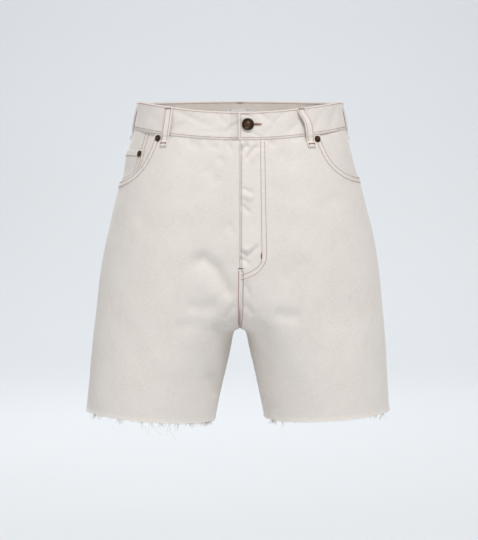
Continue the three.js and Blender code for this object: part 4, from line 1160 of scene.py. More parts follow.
class Thread:
    """Collects stitches into one mesh."""

    def __init__(self, name):
        self.name = name
        self.points = []
        self.faces = []
        self.tints = []
        self.count = 0
        self.random = np.random.RandomState(len(name) + 7)

    def add(self, starts, ends, normals, width, height, tint=0.6):
        """Stitches from starts to ends, lying on a face with these normals."""
        along = ends - starts
        across = unit(np.cross(normals, along))
        rings = []
        for share, size in STITCH_RINGS:
            sag = -STITCH_SAG * (2 * share - 1)**2 * height / STITCH["height"]
            centre = starts + along * share + normals * (sag + height * 0.5 - STITCH["sink"])
            for k in range(STITCH_SIDES):
                angle = 2 * math.pi * (k + 0.5) / STITCH_SIDES
                rings.append(centre + across * (0.5 * width * size * math.cos(angle))
                             + normals * (0.5 * height * size * math.sin(angle)))
        number = len(starts)
        self.points.append(np.stack(rings, 1).reshape(-1, 3))
        self.faces += tube_faces(number, len(STITCH_RINGS), STITCH_SIDES, self.count)
        tints = np.clip(tint + self.random.uniform(-TINT_SPREAD, TINT_SPREAD, number), 0, 1)
        self.tints.append(np.repeat(tints, len(rings)))
        self.count += number * len(rings)

    def sew(self, path, width=STITCH["width"]):
        """A row of stitches along a path, given as points and normals close together."""
        points, normals = path
        length = run(points)
        number = max(1, int(length[-1] / STITCH["pitch"]))
        pitch = length[-1] / number
        share = STITCH["length"] / STITCH["pitch"]
        begin = (np.arange(number) + 0.5 - 0.5 * share) * pitch
        begin = begin + self.random.uniform(-STITCH_WOBBLE, STITCH_WOBBLE, number)
        end = begin + pitch * share
        middle = read_path(normals, length, (begin + end) / 2)
        starts, ends = read_path(points, length, begin), read_path(points, length, end)
        self.add(starts, ends, middle, width, STITCH["height"])

    def tack(self, path, width, tint=0.9):
        """A bar tack: close stitches across a short path."""
        points = path[0]
        length = run(points)
        number = max(3, int(length[-1] / TACK["pitch"]))
        at = (np.arange(number) + 0.5) * length[-1] / number
        centre, normal = (read_path(values, length, at) for values in path)
        along = unit(points[-1] - points[0])
        reach = unit(np.cross(normal, along)) * width / 2 + along * TACK["lean"]
        thickness = TACK["pitch"] * TACK["overlap"]
        self.add(centre - reach, centre + reach, normal, thickness, TACK["height"], tint)

    def build(self, material):
        points, tints = np.concatenate(self.points), np.concatenate(self.tints)
        piece = add_object(self.name, points, self.faces, tint_and_painted_shade=tints)
        piece.data.materials.append(material)


def spline(stops, step=SEAM_STEP):
    """Points close together on a smooth curve through the stops."""
    stops = np.asarray(stops, float)
    if len(stops) == 2:
        number = max(2, int(np.linalg.norm(stops[1] - stops[0]) / step))
        return stops[0] + np.linspace(0, 1, number + 1)[:, None] * (stops[1] - stops[0])
    ends = np.concatenate([[2 * stops[0] - stops[1]], stops, [2 * stops[-1] - stops[-2]]])
    pieces = []
    for a, b, c, d in zip(ends[:-3], ends[1:-2], ends[2:-1], ends[3:]):
        number = max(2, int(np.linalg.norm(c - b) / step))
        u = np.linspace(0, 1, number, endpoint=False)[:, None]
        pieces.append(0.5 * (2 * b + (c - a) * u + (2 * a - 5 * b + 4 * c - d) * u**2
                             + (3 * b - a - 3 * c + d) * u**3))
    return np.concatenate(pieces + [stops[-1:]])


def on_cloth(t, z, side, offset):
    return cloth(t, z, side, offset), cloth_normal(t, z, side)


def on_front(arc, z, side):
    t = form.place_of(arc, z)
    return on_cloth(t, z, side, front_offset(t, z, side))


def across_seam(x, z):
    """A path on the fronts that may cross the front seam; x is the distance from it towards the left."""
    left, left_normal = on_front(np.abs(x), z, 1)
    right, right_normal = on_front(np.abs(x), z, -1)
    is_left = (x >= 0)[:, None]
    return np.where(is_left, left, right), np.where(is_left, left_normal, right_normal)


def on_pocket(from_side, depth, side, offset_of):
    t, z = below_waist(from_side, depth, side)
    return on_cloth(t, z, side, offset_of(from_side, depth, side))


def scoop_path(side, distance):
    """A row outside the scoop's edge, from the waist seam to the side seam."""
    scoop = SCOOPS[side]
    angle = np.linspace(0.0, math.pi / 2, 400)
    x = np.clip(np.cos(angle), 0, 1)**(2 / SCOOP_POWER)
    y = np.sin(angle)**(2 / SCOOP_POWER)
    nx, ny = x**(SCOOP_POWER - 1) / scoop["across"], y**(SCOOP_POWER - 1) / scoop["deep"]
    size = np.hypot(nx, ny)
    from_side = scoop["across"] * x + distance * nx / size
    depth = scoop["deep"] * y + distance * ny / size
    kept = (from_side > 1.5) & (depth > 1.5)
    t, z = below_waist(from_side[kept], depth[kept], side)
    return on_cloth(t, z, side, front_offset(t, z, side))


def on_back(t, z, side):
    return on_cloth(t, z, side, back_offset(t, z, side))


def from_back_path(distance, top, bottom, side):
    z = np.linspace(top, bottom, 500)
    length = seam_lengths("seam_back", z)
    z = np.interp(np.linspace(0, length[-1], 600), length, z)
    return on_back(form.place_of(form.whole_arc(z) - distance, z), z, side)


def on_back_pocket(across, down, side):
    t, z = back_pocket_place(across, down)
    return on_cloth(t, z, side, back_pocket_offset(across, down))


def on_band(share, length, level, inside=False):
    """A path on the band's outer or inner face."""
    share, length, level = np.broadcast_arrays(*(np.asarray(v, float) for v in (share, length, level)))
    distance, z = band_place(share, length, level)
    offset = band_offset(share, length, level)[1 if inside else 0]
    t, is_left = ring_place(distance, z)
    points = ring_point(distance, z, offset)
    normals = np.where(is_left[:, None], cloth_normal(t, z, 1), cloth_normal(t, z, -1))
    return points, -normals if inside else normals


LOOP_PROBE = {"share": 0.004, "across": 0.4}


def on_loop(loop, share, across):
    share, across = np.broadcast_arrays(np.asarray(share, float), np.asarray(across, float))
    thick = loop_thickness(share, across)
    up, right = LOOP_PROBE["share"], LOOP_PROBE["across"]
    points = loop_points(loop, share, across, thick)
    rise = loop_points(loop, share + up, across, thick) - loop_points(loop, share - up, across, thick)
    aside = loop_points(loop, share, across + right, thick) - loop_points(loop, share, across - right, thick)
    normals = unit(np.cross(rise, aside))
    outward = points * np.array([1.0, 1.0, 0.0])
    return points, normals * np.sign((normals * outward).sum(1, keepdims=True))


# Rows and bar tacks of the fly: width of the thread, then the way across and up in millimetres
RISE_WIDTH = 1.5
FLY_ROWS = (
    (STITCH["width"], ((28.2, -37), (29.2, -110), (30.4, -186), (30.2, -200), (28.6, -205.5), (24.1, -211),
                       (15.3, -217), (5.5, -221), (0.6, -222.4))),
    (STITCH["width"], ((34.0, -37), (35.2, -110), (36.5, -187), (35.9, -200), (32.6, -208.5), (27.0, -216.2),
                       (19.5, -221.8), (11, -225.8), (0.6, -228.4))),
    (STITCH["width"], ((2.2, -40), (2.2, -218))),
    (RISE_WIDTH, ((4.4, -216), (4.2, -240), (4.0, -270), (3.9, -300))),
    (RISE_WIDTH, ((-1.9, -216), (-1.9, -250), (-1.9, -300))),
)
FLY_TACKS = ((1.8, ((29.6, -191.4), (29.4, -199.4))), (1.6, ((-2.4, -213.2), (4.7, -213.0))))
FLY_TACK_STEP = 0.3
FACING_SEAM = (79.0, 85.6)
BUTTONHOLE = {"from": 16.0, "to": 28.5, "reach": 1.3, "pitch": 0.7}
BACK_TACK = {"width": 9.0, "level": 0.94, "height": 1.6}


def sew_fly(thread):
    for width, stops in FLY_ROWS:
        thread.sew(across_seam(*spline(stops).T), width)
    for width, stops in FLY_TACKS:
        thread.tack(across_seam(*spline(stops, FLY_TACK_STEP).T), width)


def sew_pocket(thread, side):
    for distance in SCOOP_ROWS:
        thread.sew(scoop_path(side, distance))
    if side > 0:
        return
    for from_side in FACING_SEAM:
        depth = np.linspace(1.5, coin_top(from_side) - 1, 60)
        thread.sew(on_pocket(np.full(60, from_side), depth, side, facing_offset))
        depth = np.linspace(coin_top(from_side) + 1.5, scoop_reach(from_side, side) - 0.5, 60)
        thread.sew(on_pocket(np.full(60, from_side), depth, side, coin_offset))
    from_side = np.linspace(COIN["inner"] - 1.5, 2.5, 200)
    thread.sew(on_pocket(from_side, coin_top(from_side) + COIN["hem"] - 1.4, side, coin_offset))


def sew_back(thread, side):
    t = np.linspace(1.004, 1.996, 500)
    for distance in FELL_ROWS:
        thread.sew(on_back(t, waist_at(t, side) - yoke_depth(t) - distance, side))
    if side > 0:
        seam = WAIST_SEAM["back"] - YOKE["middle"]
        for distance in FELL_ROWS:
            thread.sew(from_back_path(distance, WAIST_SEAM["back"] - 1.5, seam + 1.0, side))
            thread.sew(from_back_path(distance, seam - 1.0, CROTCH + 3.0, side))
    for distance in BACK_POCKET["rows"]:
        thread.sew(back_pocket_row(distance, side))
    for distance in BACK_POCKET["hem_rows"]:
        across = np.linspace(-0.985, 0.985, 300)
        thread.sew(on_back_pocket(across, np.full(300, distance / BACK_POCKET["tip_height"]), side))
    for end in (-1, 1):
        across = np.full(30, end * (1 - 2 * BACK_POCKET["rows"][0] / BACK_POCKET["top_width"]))
        thread.tack(on_back_pocket(across, np.linspace(0.004, 0.06, 30), side), 1.8)


def back_pocket_row(distance, side):
    """Down one side of a back pocket, round its point and up the other side."""
    half_top, half_bottom = BACK_POCKET["top_width"] / 2, BACK_POCKET["bottom_width"] / 2
    side_down = 1 - distance / BACK_POCKET["side_height"]
    tip_down = 1 - distance / BACK_POCKET["tip_height"]
    inner_top, inner_bottom = 1 - distance / half_top, 1 - distance / half_bottom
    stops = ((-inner_top, 0.01), (-inner_bottom, side_down), (0.0, tip_down),
             (inner_bottom, side_down), (inner_top, 0.01))
    pieces = []
    for first, last in zip(stops[:-1], stops[1:]):
        shares = np.linspace(0, 1, 160, endpoint=last == stops[-1])[:, None]
        pieces.append(np.array(first) + shares * (np.array(last) - np.array(first)))
    path = np.concatenate(pieces)
    return on_back_pocket(path[:, 0], path[:, 1], side)


def sew_band(thread):
    round_ = 2 * float(form.whole_arc(WAIST_SEAM["side"]))
    top = 1 - BAND_SEWN["top"] / BAND_HEIGHT
    bottom = BAND_SEWN["bottom"] / BAND_HEIGHT
    end = BAND_UPPER_END + BAND_SEWN["end"]
    shares = np.linspace(end / round_, 1 - 3.5 / round_, 1700)
    for level in (top, bottom):
        thread.sew(on_band(shares, 0.0, level))
        thread.sew(on_band(shares, 0.0, level, inside=True))
    thread.sew(on_band(0.0, end, np.linspace(top, bottom, 80)))
    shares = 0.5 + np.linspace(-0.5, 0.5, 40) * BACK_TACK["width"] / round_
    thread.tack(on_band(shares, 0.0, BACK_TACK["level"], inside=True), BACK_TACK["height"])


def sew_buttonhole(thread):
    x = np.arange(BUTTONHOLE["from"], BUTTONHOLE["to"], BUTTONHOLE["pitch"])
    seam = band_seam(np.zeros(len(x)), x)[0]
    level = (BUTTON["z"] - seam) / BAND_HEIGHT
    half = BUTTONHOLE["reach"] / BAND_HEIGHT
    gap = BUTTON["hole_half"] / BAND_HEIGHT
    for sign in (-1, 1):
        near, normals = on_band(np.zeros(len(x)), x, level + sign * gap)
        far = on_band(np.zeros(len(x)), x + 0.25, level + sign * (gap + half))[0]
        thread.add(near, far, normals, BUTTONHOLE["pitch"] * 0.9, 0.5, 0.25)
    levels = np.linspace(level[-1] - half, level[-1] + half, 20)
    thread.tack(on_band(np.zeros(20), np.full(20, BUTTONHOLE["to"] + 0.6), levels), 1.4, 0.4)


def sew_loops(thread):
    edge = LOOP["width"] / 2 - LOOP["row"]
    for loop in LOOPS:
        shares = np.linspace(0.02, 0.975, 200)
        for across in (-edge, edge):
            thread.sew(on_loop(loop, shares, across))
        across = np.linspace(-0.42, 0.42, 40) * LOOP["width"]
        thread.tack(on_loop(loop, 0.075, across), 1.5)
        thread.tack(on_loop(loop, 0.975, across), 1.6)


def sew_label(thread):
    for ends in ((0.03, 0.27), (0.8, 0.95)):
        points = label_points(np.linspace(*ends, 30), np.full(30, 0.03), LABEL["thick"])
        thread.sew((points, unit(points * np.array([0.0, -1.0, 0.0]))))


# Button and rivets, as radius and height above the cloth

BUTTON_PROFILE = (
    (1.6, -3.1), (1.6, 0.9), (6.6, 0.95), (7.8, 1.15), (8.35, 1.6), (8.5, 2.2), (8.3, 2.85), (7.8, 3.3),
    (7.2, 3.45), (6.6, 3.35), (6.15, 3.0), (5.9, 2.75), (5.6, 2.8), (5.35, 2.95), (5.1, 2.8), (4.6, 2.6),
    (3.6, 2.55), (3.1, 2.75), (2.7, 3.1), (2.1, 3.35), (1.2, 3.5), (0.0, 3.55),
)
RIVET_PROFILE = (
    (3.9, -0.25), (4.5, 0.05), (4.65, 0.45), (4.4, 0.85), (3.9, 1.05), (3.2, 1.0), (2.75, 0.9), (2.5, 1.1),
    (2.3, 1.6), (1.8, 1.95), (1.0, 2.1), (0.0, 2.15),
)
PROFILE_STEPS = 3
ROUND_SEGMENTS = 64
RIVETS = (("rivet_scoop_left", 1, 119.0, 5.8), ("rivet_scoop_right", -1, 110.0, 5.8))
COIN_RIVET = (80.0, 31.0)
RIVET_LIFT = 0.1


def build_round(name, profile, seat, normal):
    """A turned piece on the cloth, with a smooth profile and a closed foot."""
    stops = np.array(profile, float)
    fine = np.linspace(0, len(stops) - 1, (len(stops) - 1) * PROFILE_STEPS + 1)
    radii, heights = (np.interp(fine, range(len(stops)), column) for column in stops.T)
    right = unit(np.cross(normal, (0.0, 0.0, 1.0)))
    up = np.cross(right, normal)
    angles = np.linspace(0, 2 * math.pi, ROUND_SEGMENTS, endpoint=False)
    spokes = np.cos(angles)[:, None] * right + np.sin(angles)[:, None] * up
    rings = [seat + normal * height + spokes * radius for radius, height in zip(radii[:-1], heights[:-1])]
    points = np.concatenate(rings + [(seat + normal * heights[-1])[None], (seat + normal * heights[0])[None]])
    faces = []
    last_ring = (len(rings) - 1) * ROUND_SEGMENTS
    top, foot = len(points) - 2, len(points) - 1
    for k in range(ROUND_SEGMENTS):
        after = (k + 1) % ROUND_SEGMENTS
        for ring in range(len(rings) - 1):
            base = ring * ROUND_SEGMENTS
            faces.append((base + k, base + after, base + ROUND_SEGMENTS + after, base + ROUND_SEGMENTS + k))
        faces.append((last_ring + k, last_ring + after, top))
        faces.append((after, k, foot))
    reach = np.repeat(radii[:-1] / radii.max(), ROUND_SEGMENTS)
    tint_and_painted_shade = np.concatenate([reach, [0.0, 0.0]])
    piece = add_object(name + "_metal", points, faces, points[:, [0, 2]], tint_and_painted_shade)
    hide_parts(name)
    return piece


def build_hardware():
    z = BUTTON["z"]
    places = [("waist_button", BUTTON_PROFILE, on_cloth(form.place_of(BUTTON["x"], z), z, 1, BAND_PROUD))]
    for name, side, from_side, below in RIVETS:
        t, z = below_waist(from_side, below, side)
        places.append((name, RIVET_PROFILE, on_cloth(t, z, side, front_offset(t, z, side) + RIVET_LIFT)))
    t, z = below_waist(*COIN_RIVET, -1)
    lift = coin_offset(*COIN_RIVET, -1) + RIVET_LIFT
    places.append(("rivet_coin", RIVET_PROFILE, on_cloth(t, z, -1, lift)))
    return [build_round(name, profile, *place) for name, profile, place in places]


# Frayed hems: close short fuzz and some longer threads, all as thin closed threads

FRAY = {
    "fuzz": 1100, "fuzz_reach": (1.4, 5.0), "fuzz_radius": 0.16, "thread_radius": 0.3, "curl": 0.9,
    "fuzz_tint": (0.75, 1.0), "thread_tint": (0.0, 0.6), "tip": 0.45, "rooted": 0.8,
}
# leg, face, x along the hem, reach, spread and how many threads
TUFTS = (
    (-1, -1, -203, 9, 13, 12), (-1, -1, -207, 19, 6, 4), (-1, -1, -170, 11, 6, 7), (-1, -1, -139, 19, 3, 3),
    (-1, -1, -124, 19, 4, 4), (-1, -1, -112, 9, 8, 8), (-1, -1, -99, 24, 3, 3), (-1, -1, -88, 16, 5, 6),
    (-1, -1, -70, 8, 12, 16), (-1, -1, -48, 8, 18, 46), (1, -1, 48, 9, 12, 24), (1, -1, 62, 12, 4, 3),
    (1, -1, 203, 13, 9, 7), (1, -1, 190, 8, 8, 6), (1, 1, 96, 17, 7, 6), (1, 1, 160, 12, 12, 9),
    (-1, 1, -78, 14, 9, 8), (-1, 1, -150, 18, 6, 6), (-1, 1, -110, 9, 20, 18), (1, 1, 60, 9, 20, 20),
)
FRAY_RINGS = 6
FRAY_SIDES = 3


def hem_roots(side, arcs):
    z0 = np.full(len(arcs), HEM[side]["height"])
    t = form.place_of(arcs, z0)
    z = hem_at(t, side)
    return cloth(t, z, side, -0.5 * DENIM), cloth_normal(t, z, side)


def build_fray(side, name):
    random = np.random.RandomState(31 + side)
    whole = float(form.whole_arc(HEM[side]["height"]))
    arcs = [random.uniform(0, whole, FRAY["fuzz"])]
    reaches = [random.uniform(*FRAY["fuzz_reach"], FRAY["fuzz"]) * random.uniform(0.4, 1.0, FRAY["fuzz"])]
    radii = [np.full(FRAY["fuzz"], FRAY["fuzz_radius"])]
    fine = np.linspace(0, whole, 2000)
    along = hem_roots(side, fine)[0]
    for leg, face, x, reach, spread, number in TUFTS:
        if leg != side:
            continue
        on_face = np.where(np.sign(along[:, 1]) == face, np.abs(along[:, 0] - x), 1e9)
        middle = fine[on_face.argmin()]
        arcs.append(np.clip(middle + random.normal(0, spread * 0.5, number), 0, whole))
        reaches.append(reach * random.uniform(0.45, 1.0, number))
        radii.append(np.full(number, FRAY["thread_radius"]))
    arcs, reaches, radii = (np.concatenate(v) for v in (arcs, reaches, radii))
    roots, normals = hem_roots(side, arcs)
    roots = roots + normals * random.uniform(-0.45, 0.45, len(arcs))[:, None] * DENIM
    tangent = unit(np.cross(normals, (0.0, 0.0, 1.0)))
    down = np.array([0.0, 0.0, -1.0])
    lean = tangent * random.normal(0, 0.45, len(arcs))[:, None]
    lean = lean + normals * random.normal(0.1, 0.25, len(arcs))[:, None]
    curl = random.uniform(0.5, 1.4, len(arcs)) * np.minimum(reaches * 0.22, 2.6) * FRAY["curl"]
    phase = random.uniform(0, 2 * math.pi, len(arcs))
    turns = random.uniform(0.5, 1.5, len(arcs))
    centres = []
    for k in range(FRAY_RINGS):
        s = k / (FRAY_RINGS - 1)
        swing = curl * (np.sin(phase + turns * 2 * math.pi * s) - np.sin(phase)) * s
        sway = curl * (np.cos(phase + turns * 2 * math.pi * s) - np.cos(phase)) * s
        centres.append(roots + (down + lean * s) * (reaches * s)[:, None]
                       + tangent * swing[:, None] + normals * (0.6 * sway)[:, None] - down * FRAY["rooted"])
    centres = np.stack(centres, 1)
    along = unit(np.gradient(centres, axis=1))
    first = unit(np.cross(along, np.array([0.31, 0.95, 0.11])))
    second = np.cross(along, first)
    radii = radii[:, None, None] * np.linspace(1.0, FRAY["tip"], FRAY_RINGS)[None, :, None]
    rings = []
    for angle in np.linspace(0, 2 * math.pi, FRAY_SIDES, endpoint=False):
        rings.append(centres + (first * math.cos(angle) + second * math.sin(angle)) * radii)
    points = np.stack(rings, 2).reshape(-1, 3)
    faces = tube_faces(len(arcs), FRAY_RINGS, FRAY_SIDES)
    tints = np.where(reaches > FRAY["fuzz_reach"][1], random.uniform(*FRAY["thread_tint"], len(arcs)),
                     random.uniform(*FRAY["fuzz_tint"], len(arcs)))
    tint_and_painted_shade = np.repeat(tints, FRAY_RINGS * FRAY_SIDES)
    piece = add_object(name + "_threads", points, faces, points[:, [0, 2]], tint_and_painted_shade)
    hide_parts(name)
    return piece


# Finishes

ECRU = (0.770, 0.716, 0.662)
ECRU_PALE = (0.84, 0.79, 0.738)
ECRU_SHADE = (0.65, 0.598, 0.547)
YARN = (0.64, 0.585, 0.53)
YARN_SHADE = (0.40, 0.35, 0.30)
LABEL_WHITE = (0.86, 0.855, 0.84)
LABEL_PALE = (0.90, 0.895, 0.88)
LABEL_SHADE = (0.80, 0.77, 0.72)
RUST = (0.46, 0.135, 0.07)
RUST_DARK = (0.19, 0.058, 0.032)
LABEL_THREAD = (0.12, 0.11, 0.11)
LABEL_THREAD_DARK = (0.06, 0.055, 0.055)
BRONZE = (0.03, 0.02, 0.013)
BRONZE_WORN = (0.15, 0.09, 0.05)
TWILL = {"wale": 0.0011, "angle": math.radians(62)}
# Sizes of the noises in a cloth, for each metre of it, and how much each changes its tone
SLUB = {"scale": (560.0, 150.0, 1.0), "tone": 0.32}
SPECKLE = {"scale": 520.0, "tone": 0.2}
BLOTCH = {"scale": 26.0, "tone": 0.22}
WOBBLE_SCALE = 420.0
WEAVE_TONE = 0.1
# How far the per-point tint turns a cloth paler or darker; on the denim it carries painted shade and painted
# highlight.
TINT_AND_PAINTED_SHADE_TONE = 0.45
NOISE_RANGE = (0.3, 0.7)


class Nodes:
    """A small builder of shader node trees."""

    def __init__(self, name):
        self.material = bpy.data.materials.new(name)
        self.material.use_nodes = True
        self.tree = self.material.node_tree
        self.shader = self.tree.nodes["Principled BSDF"]

    def node(self, kind, **settings):
        node = self.tree.nodes.new(kind)
        inputs = settings.pop("inputs", {})
        for key, value in settings.items():
            setattr(node, key, value)
        for key, value in inputs.items():
            if isinstance(value, bpy.types.NodeSocket):
                self.tree.links.new(value, node.inputs[key])
            else:
                node.inputs[key].default_value = value
        return node

    def math(self, operation, a, b=0.0):
        return self.node("ShaderNodeMath", operation=operation, inputs={0: a, 1: b}).outputs[0]

    def ramp(self, value, low, high, first, last):
        """Values from low to high turned into first to last."""
        inputs = {"Value": value, "From Min": low, "From Max": high, "To Min": first, "To Max": last}
        return self.node("ShaderNodeMapRange", inputs=inputs).outputs[0]

    def blend(self, share, first, last):
        node = self.node("ShaderNodeMix", data_type="RGBA")
        for key, value in ((0, share), (6, first), (7, last)):
            if isinstance(value, bpy.types.NodeSocket):
                self.tree.links.new(value, node.inputs[key])
            elif key == 0:
                node.inputs[key].default_value = value
            else:
                node.inputs[key].default_value = (*value, 1.0)
        return node.outputs[2]

    def noise(self, vector, scale, detail=3.0, roughness=0.55):
        inputs = {"Vector": vector, "Scale": scale, "Detail": detail, "Roughness": roughness}
        return self.node("ShaderNodeTexNoise", inputs=inputs).outputs["Fac"]

    def stretched(self, vector, angle, scale):
        """The vector turned by an angle, then scaled."""
        mapping = self.node("ShaderNodeMapping", vector_type="TEXTURE")
        self.tree.links.new(vector, mapping.inputs["Vector"])
        mapping.inputs["Rotation"].default_value = (0.0, 0.0, angle)
        mapping.inputs["Scale"].default_value = tuple(1 / size for size in scale)
        return mapping.outputs[0]

    def use(self, key, value):
        if isinstance(value, bpy.types.NodeSocket):
            self.tree.links.new(value, self.shader.inputs[key])
        elif isinstance(value, tuple):
            self.shader.inputs[key].default_value = (*value, 1.0)
        else:
            self.shader.inputs[key].default_value = value

    def bump(self, height, strength, distance):
        inputs = {"Height": height, "Strength": strength, "Distance": distance}
        return self.node("ShaderNodeBump", inputs=inputs).outputs[0]

    def total(self, *values):
        """The sum of several values."""
        whole = values[0]
        for value in values[1:]:
            whole = self.math("ADD", whole, value)
        return whole

    def clamped(self, value):
        return self.node("ShaderNodeClamp", inputs={0: value}).outputs[0]

    def spread(self, noise, amount):
        """A noise turned into values from minus the amount to the amount."""
        return self.ramp(noise, *NOISE_RANGE, -amount, amount)

    def tint_and_painted_shade(self):
        return self.node("ShaderNodeAttribute", attribute_name="tint_and_painted_shade").outputs["Fac"]

    def place(self):
        return self.node("ShaderNodeTexCoord").outputs["Object"]


def woven_material(name, color, pale, shade, wale, contrast, sheen, roughness):
    """Woven cloth: a twill of yarns with uneven slubs, soft blotches, sheen, and a per-point tint that holds
    painted shade and highlight on the denim.
    """
    n = Nodes(name)
    uv = n.node("ShaderNodeUVMap", uv_map="cloth").outputs[0]
    parts = n.node("ShaderNodeSeparateXYZ", inputs={0: uv}).outputs
    wobble = n.math("MULTIPLY", n.math("SUBTRACT", n.noise(uv, WOBBLE_SCALE), 0.5), wale * 0.9)
    slanted = n.total(n.math("MULTIPLY", parts[0], math.sin(TWILL["angle"])),
                      n.math("MULTIPLY", parts[1], math.cos(TWILL["angle"])), wobble)
    wales = n.math("SINE", n.math("MULTIPLY", slanted, 2 * math.pi / wale))
    yarns = n.math("SINE", n.math("MULTIPLY", parts[1], 2 * math.pi / (wale * 0.5)))
    weave = n.total(n.math("MULTIPLY", wales, 0.7), n.math("MULTIPLY", yarns, 0.3))
    slub = n.noise(n.stretched(uv, TWILL["angle"], SLUB["scale"]), 1.0, 4.0, 0.6)
    speckle = n.noise(uv, SPECKLE["scale"], 2.0, 0.6)
    blotch = n.noise(uv, BLOTCH["scale"], 4.0, 0.6)
    tone = n.total(n.ramp(weave, -1.0, 1.0, -WEAVE_TONE * contrast, WEAVE_TONE * contrast),
                   n.spread(slub, SLUB["tone"] * contrast), n.spread(speckle, SPECKLE["tone"] * contrast),
                   n.spread(blotch, BLOTCH["tone"]), n.ramp(n.tint_and_painted_shade(), 0.0, 1.0, -TINT_AND_PAINTED_SHADE_TONE, TINT_AND_PAINTED_SHADE_TONE))
    light = n.clamped(tone)
    dark = n.clamped(n.math("MULTIPLY", tone, -1.0))
    n.use("Base Color", n.blend(dark, n.blend(light, color, pale), shade))
    n.use("Roughness", n.ramp(slub, *NOISE_RANGE, roughness - 0.05, min(1.0, roughness + 0.05)))
    n.use("Sheen Weight", sheen)
    n.use("Sheen Roughness", 0.45)
    n.use("Specular IOR Level", 0.2)
    relief = n.total(n.math("MULTIPLY", weave, 0.5), n.math("MULTIPLY", slub, 1.6))
    n.use("Normal", n.bump(relief, 0.5, 0.00012))
    return n.material


def thread_material(name, color, dark):
    """Twisted sewing thread, its tint uneven from stitch to stitch."""
    n = Nodes(name)
    grain = n.noise(n.place(), 900.0, 3.0)
    share = n.clamped(n.total(n.tint_and_painted_shade(), n.spread(grain, TINT_SPREAD)))
    n.use("Base Color", n.blend(share, color, dark))
    n.use("Roughness", n.ramp(grain, *NOISE_RANGE, 0.62, 0.8))
    n.use("Sheen Weight", 0.2)
    n.use("Normal", n.bump(grain, 0.4, 0.0001))
    return n.material


def metal_material():
    """Antique bronze, worn paler on its raised middle and mottled."""
    n = Nodes("antique_bronze")
    mottle = n.noise(n.place(), 700.0, 5.0, 0.65)
    fine = n.noise(n.place(), 2600.0, 3.0, 0.6)
    middle = n.ramp(n.tint_and_painted_shade(), 0.25, 0.65, 0.62, 0.05)
    share = n.clamped(n.total(middle, n.ramp(mottle, 0.35, 0.7, -0.15, 0.35)))
    n.use("Base Color", n.blend(share, BRONZE, BRONZE_WORN))
    n.use("Metallic", 0.9)
    n.use("Roughness", n.ramp(mottle, *NOISE_RANGE, 0.3, 0.5))
    n.use("Normal", n.bump(n.total(mottle, n.math("MULTIPLY", fine, 0.4)), 0.35, 0.0002))
    return n.material


# Studio

# The backdrop turns to BACKDROP_HIGH, a little paler and bluer, higher up: a painted gradient of light up the
# wall.
BACKDROP_COLOR = (0.67, 0.693, 0.712)
BACKDROP_PALE = (0.69, 0.713, 0.732)
BACKDROP_HIGH = (0.68, 0.70, 0.73)
BACKDROP_FADE = (-0.15, 0.5)
FLOOR_HEIGHT = -0.80
BACKDROP = {"front": -9.0, "turn": 4.4, "radius": 1.4, "top": 4.6, "half": 9.0, "steps": 16}


def build_studio():
    """A seamless floor that curves up behind."""
    profile = [(BACKDROP["front"], FLOOR_HEIGHT)]
    for step in range(BACKDROP["steps"] + 1):
        angle = step / BACKDROP["steps"] * math.pi / 2
        profile.append((BACKDROP["turn"] + BACKDROP["radius"] * math.sin(angle),
                        FLOOR_HEIGHT + BACKDROP["radius"] * (1 - math.cos(angle))))
    profile.append((BACKDROP["turn"] + BACKDROP["radius"], BACKDROP["top"]))
    points = [(x, y, z) for y, z in profile for x in (-BACKDROP["half"], BACKDROP["half"])]
    faces = [(2 * i, 2 * i + 1, 2 * i + 3, 2 * i + 2) for i in range(len(profile) - 1)]
    mesh = bpy.data.meshes.new("studio_floor")
    mesh.from_pydata(points, [], faces)
    mesh.polygons.foreach_set("use_smooth", np.ones(len(mesh.polygons), dtype=bool))
    floor = bpy.data.objects.new("studio_floor", mesh)
    bpy.context.scene.collection.objects.link(floor)
    n = Nodes("backdrop")
    cloud = n.ramp(n.noise(n.place(), 0.6, 2.0), *NOISE_RANGE, 0.0, 1.0)
    up = n.node("ShaderNodeSeparateXYZ", inputs={0: n.place()}).outputs[2]
    higher = n.ramp(up, *BACKDROP_FADE, 0.0, 1.0)
    # Painted light: paler and bluer higher up the wall.
    n.use("Base Color", n.blend(higher, n.blend(cloud, BACKDROP_COLOR, BACKDROP_PALE), BACKDROP_HIGH))
    n.use("Roughness", 1.0)
    n.use("Specular IOR Level", 0.0)
    mesh.materials.append(n.material)


# Lights: name, place, aim, size and power
LIGHTS = (
    ("key", (0.6, -2.5, 3.1), (0.0, 0.0, -0.25), 0.8, 104.0),
    ("left_fill", (-2.5, -1.7, -0.3), (0.0, 0.0, -0.3), 1.8, 20.0),
    ("right_fill", (2.6, -1.6, -0.4), (0.0, 0.0, -0.3), 1.8, 14.0),
    ("back_fill", (-0.7, 2.4, 2.6), (0.0, 0.0, -0.2), 0.9, 42.0),
    ("backdrop_wash", (0.0, 3.7, 3.5), (0.0, 5.6, -0.2), 3.0, 120.0),
)
WORLD_COLOR = (0.97, 0.98, 1.0)
WORLD_STRENGTH = 0.35


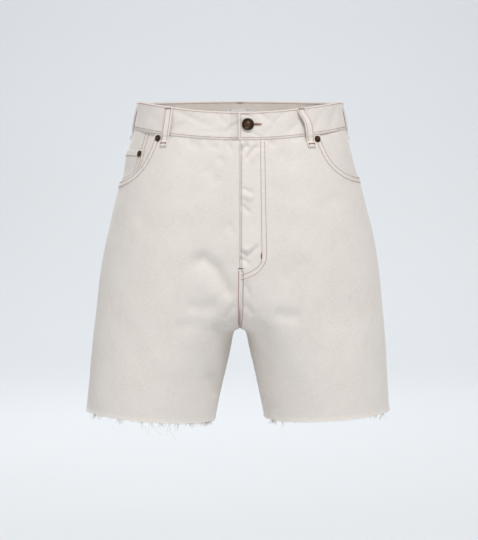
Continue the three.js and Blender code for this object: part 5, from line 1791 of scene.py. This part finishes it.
def build_lights():
    for name, place, aim, size, power in LIGHTS:
        data = bpy.data.lights.new(name, "AREA")
        data.shape = "SQUARE"
        data.size = size
        data.energy = power
        light = bpy.data.objects.new(name, data)
        light.location = place
        light.rotation_euler = (Vector(aim) - Vector(place)).to_track_quat("-Z", "Y").to_euler()
        bpy.context.scene.collection.objects.link(light)
    world = bpy.data.worlds.new("studio")
    world.use_nodes = True
    world.node_tree.nodes["Background"].inputs[0].default_value = (*WORLD_COLOR, 1)
    world.node_tree.nodes["Background"].inputs[1].default_value = WORLD_STRENGTH
    bpy.context.scene.world = world
    bpy.context.scene.view_settings.view_transform = "Standard"


# Build

SIDES = (("left", 1), ("right", -1))
PANELS = (
    ("front_", front_grid, front_offset), ("back_", back_grid, back_offset), ("yoke_", yoke_grid, back_offset),
)
SIDE_SEWING = (("stitches_pocket_", sew_pocket), ("stitches_back_", sew_back))
MIDDLE_SEWING = (
    ("stitches_fly", sew_fly), ("stitches_waistband", sew_band), ("stitches_buttonhole", sew_buttonhole),
    ("stitches_belt_loops", sew_loops),
)


def build_denim():
    """All the pieces cut from the shorts' own cloth."""
    pieces = []
    for name, side in SIDES:
        for panel, places, offset_of in PANELS:
            pieces.append(build_panel(panel + name, places(side), offset_of, side))
        pieces.append(build_back_pocket(side, "back_pocket_" + name))
        pieces.append(build_pocket(side, "pocket_" + name))
    pieces += [build_coin_pocket(), build_underlap(), build_band()]
    return pieces + [build_loop(loop) for loop in LOOPS]


def sewn(name, sew, *place):
    """A thread with one group of rows sewn."""
    thread = Thread(name)
    sew(thread, *place)
    return thread


def finish_with(material, pieces):
    for piece in pieces:
        piece.data.materials.append(material)


def build_sewing():
    rust = thread_material("rust_thread", RUST, RUST_DARK)
    for name, side in SIDES:
        for thread_name, sew in SIDE_SEWING:
            sewn(thread_name + name, sew, side).build(rust)
    for name, sew in MIDDLE_SEWING:
        sewn(name, sew).build(rust)
    sewn("stitches_label", sew_label).build(thread_material("label_thread", LABEL_THREAD, LABEL_THREAD_DARK))


build_studio()
build_lights()
finish_with(woven_material("denim", ECRU, ECRU_PALE, ECRU_SHADE, TWILL["wale"], 1.0, 0.25, 0.88),
            build_denim())
finish_with(woven_material("label_cloth", LABEL_WHITE, LABEL_PALE, LABEL_SHADE, 0.0006, 0.4, 0.3, 0.75),
            [build_label()])
finish_with(woven_material("loose_yarn", YARN, ECRU_PALE, YARN_SHADE, 0.0007, 1.2, 0.3, 0.9),
            [build_fray(side, "hem_fringe_" + name) for name, side in SIDES])
finish_with(metal_material(), build_hardware())
build_sewing()
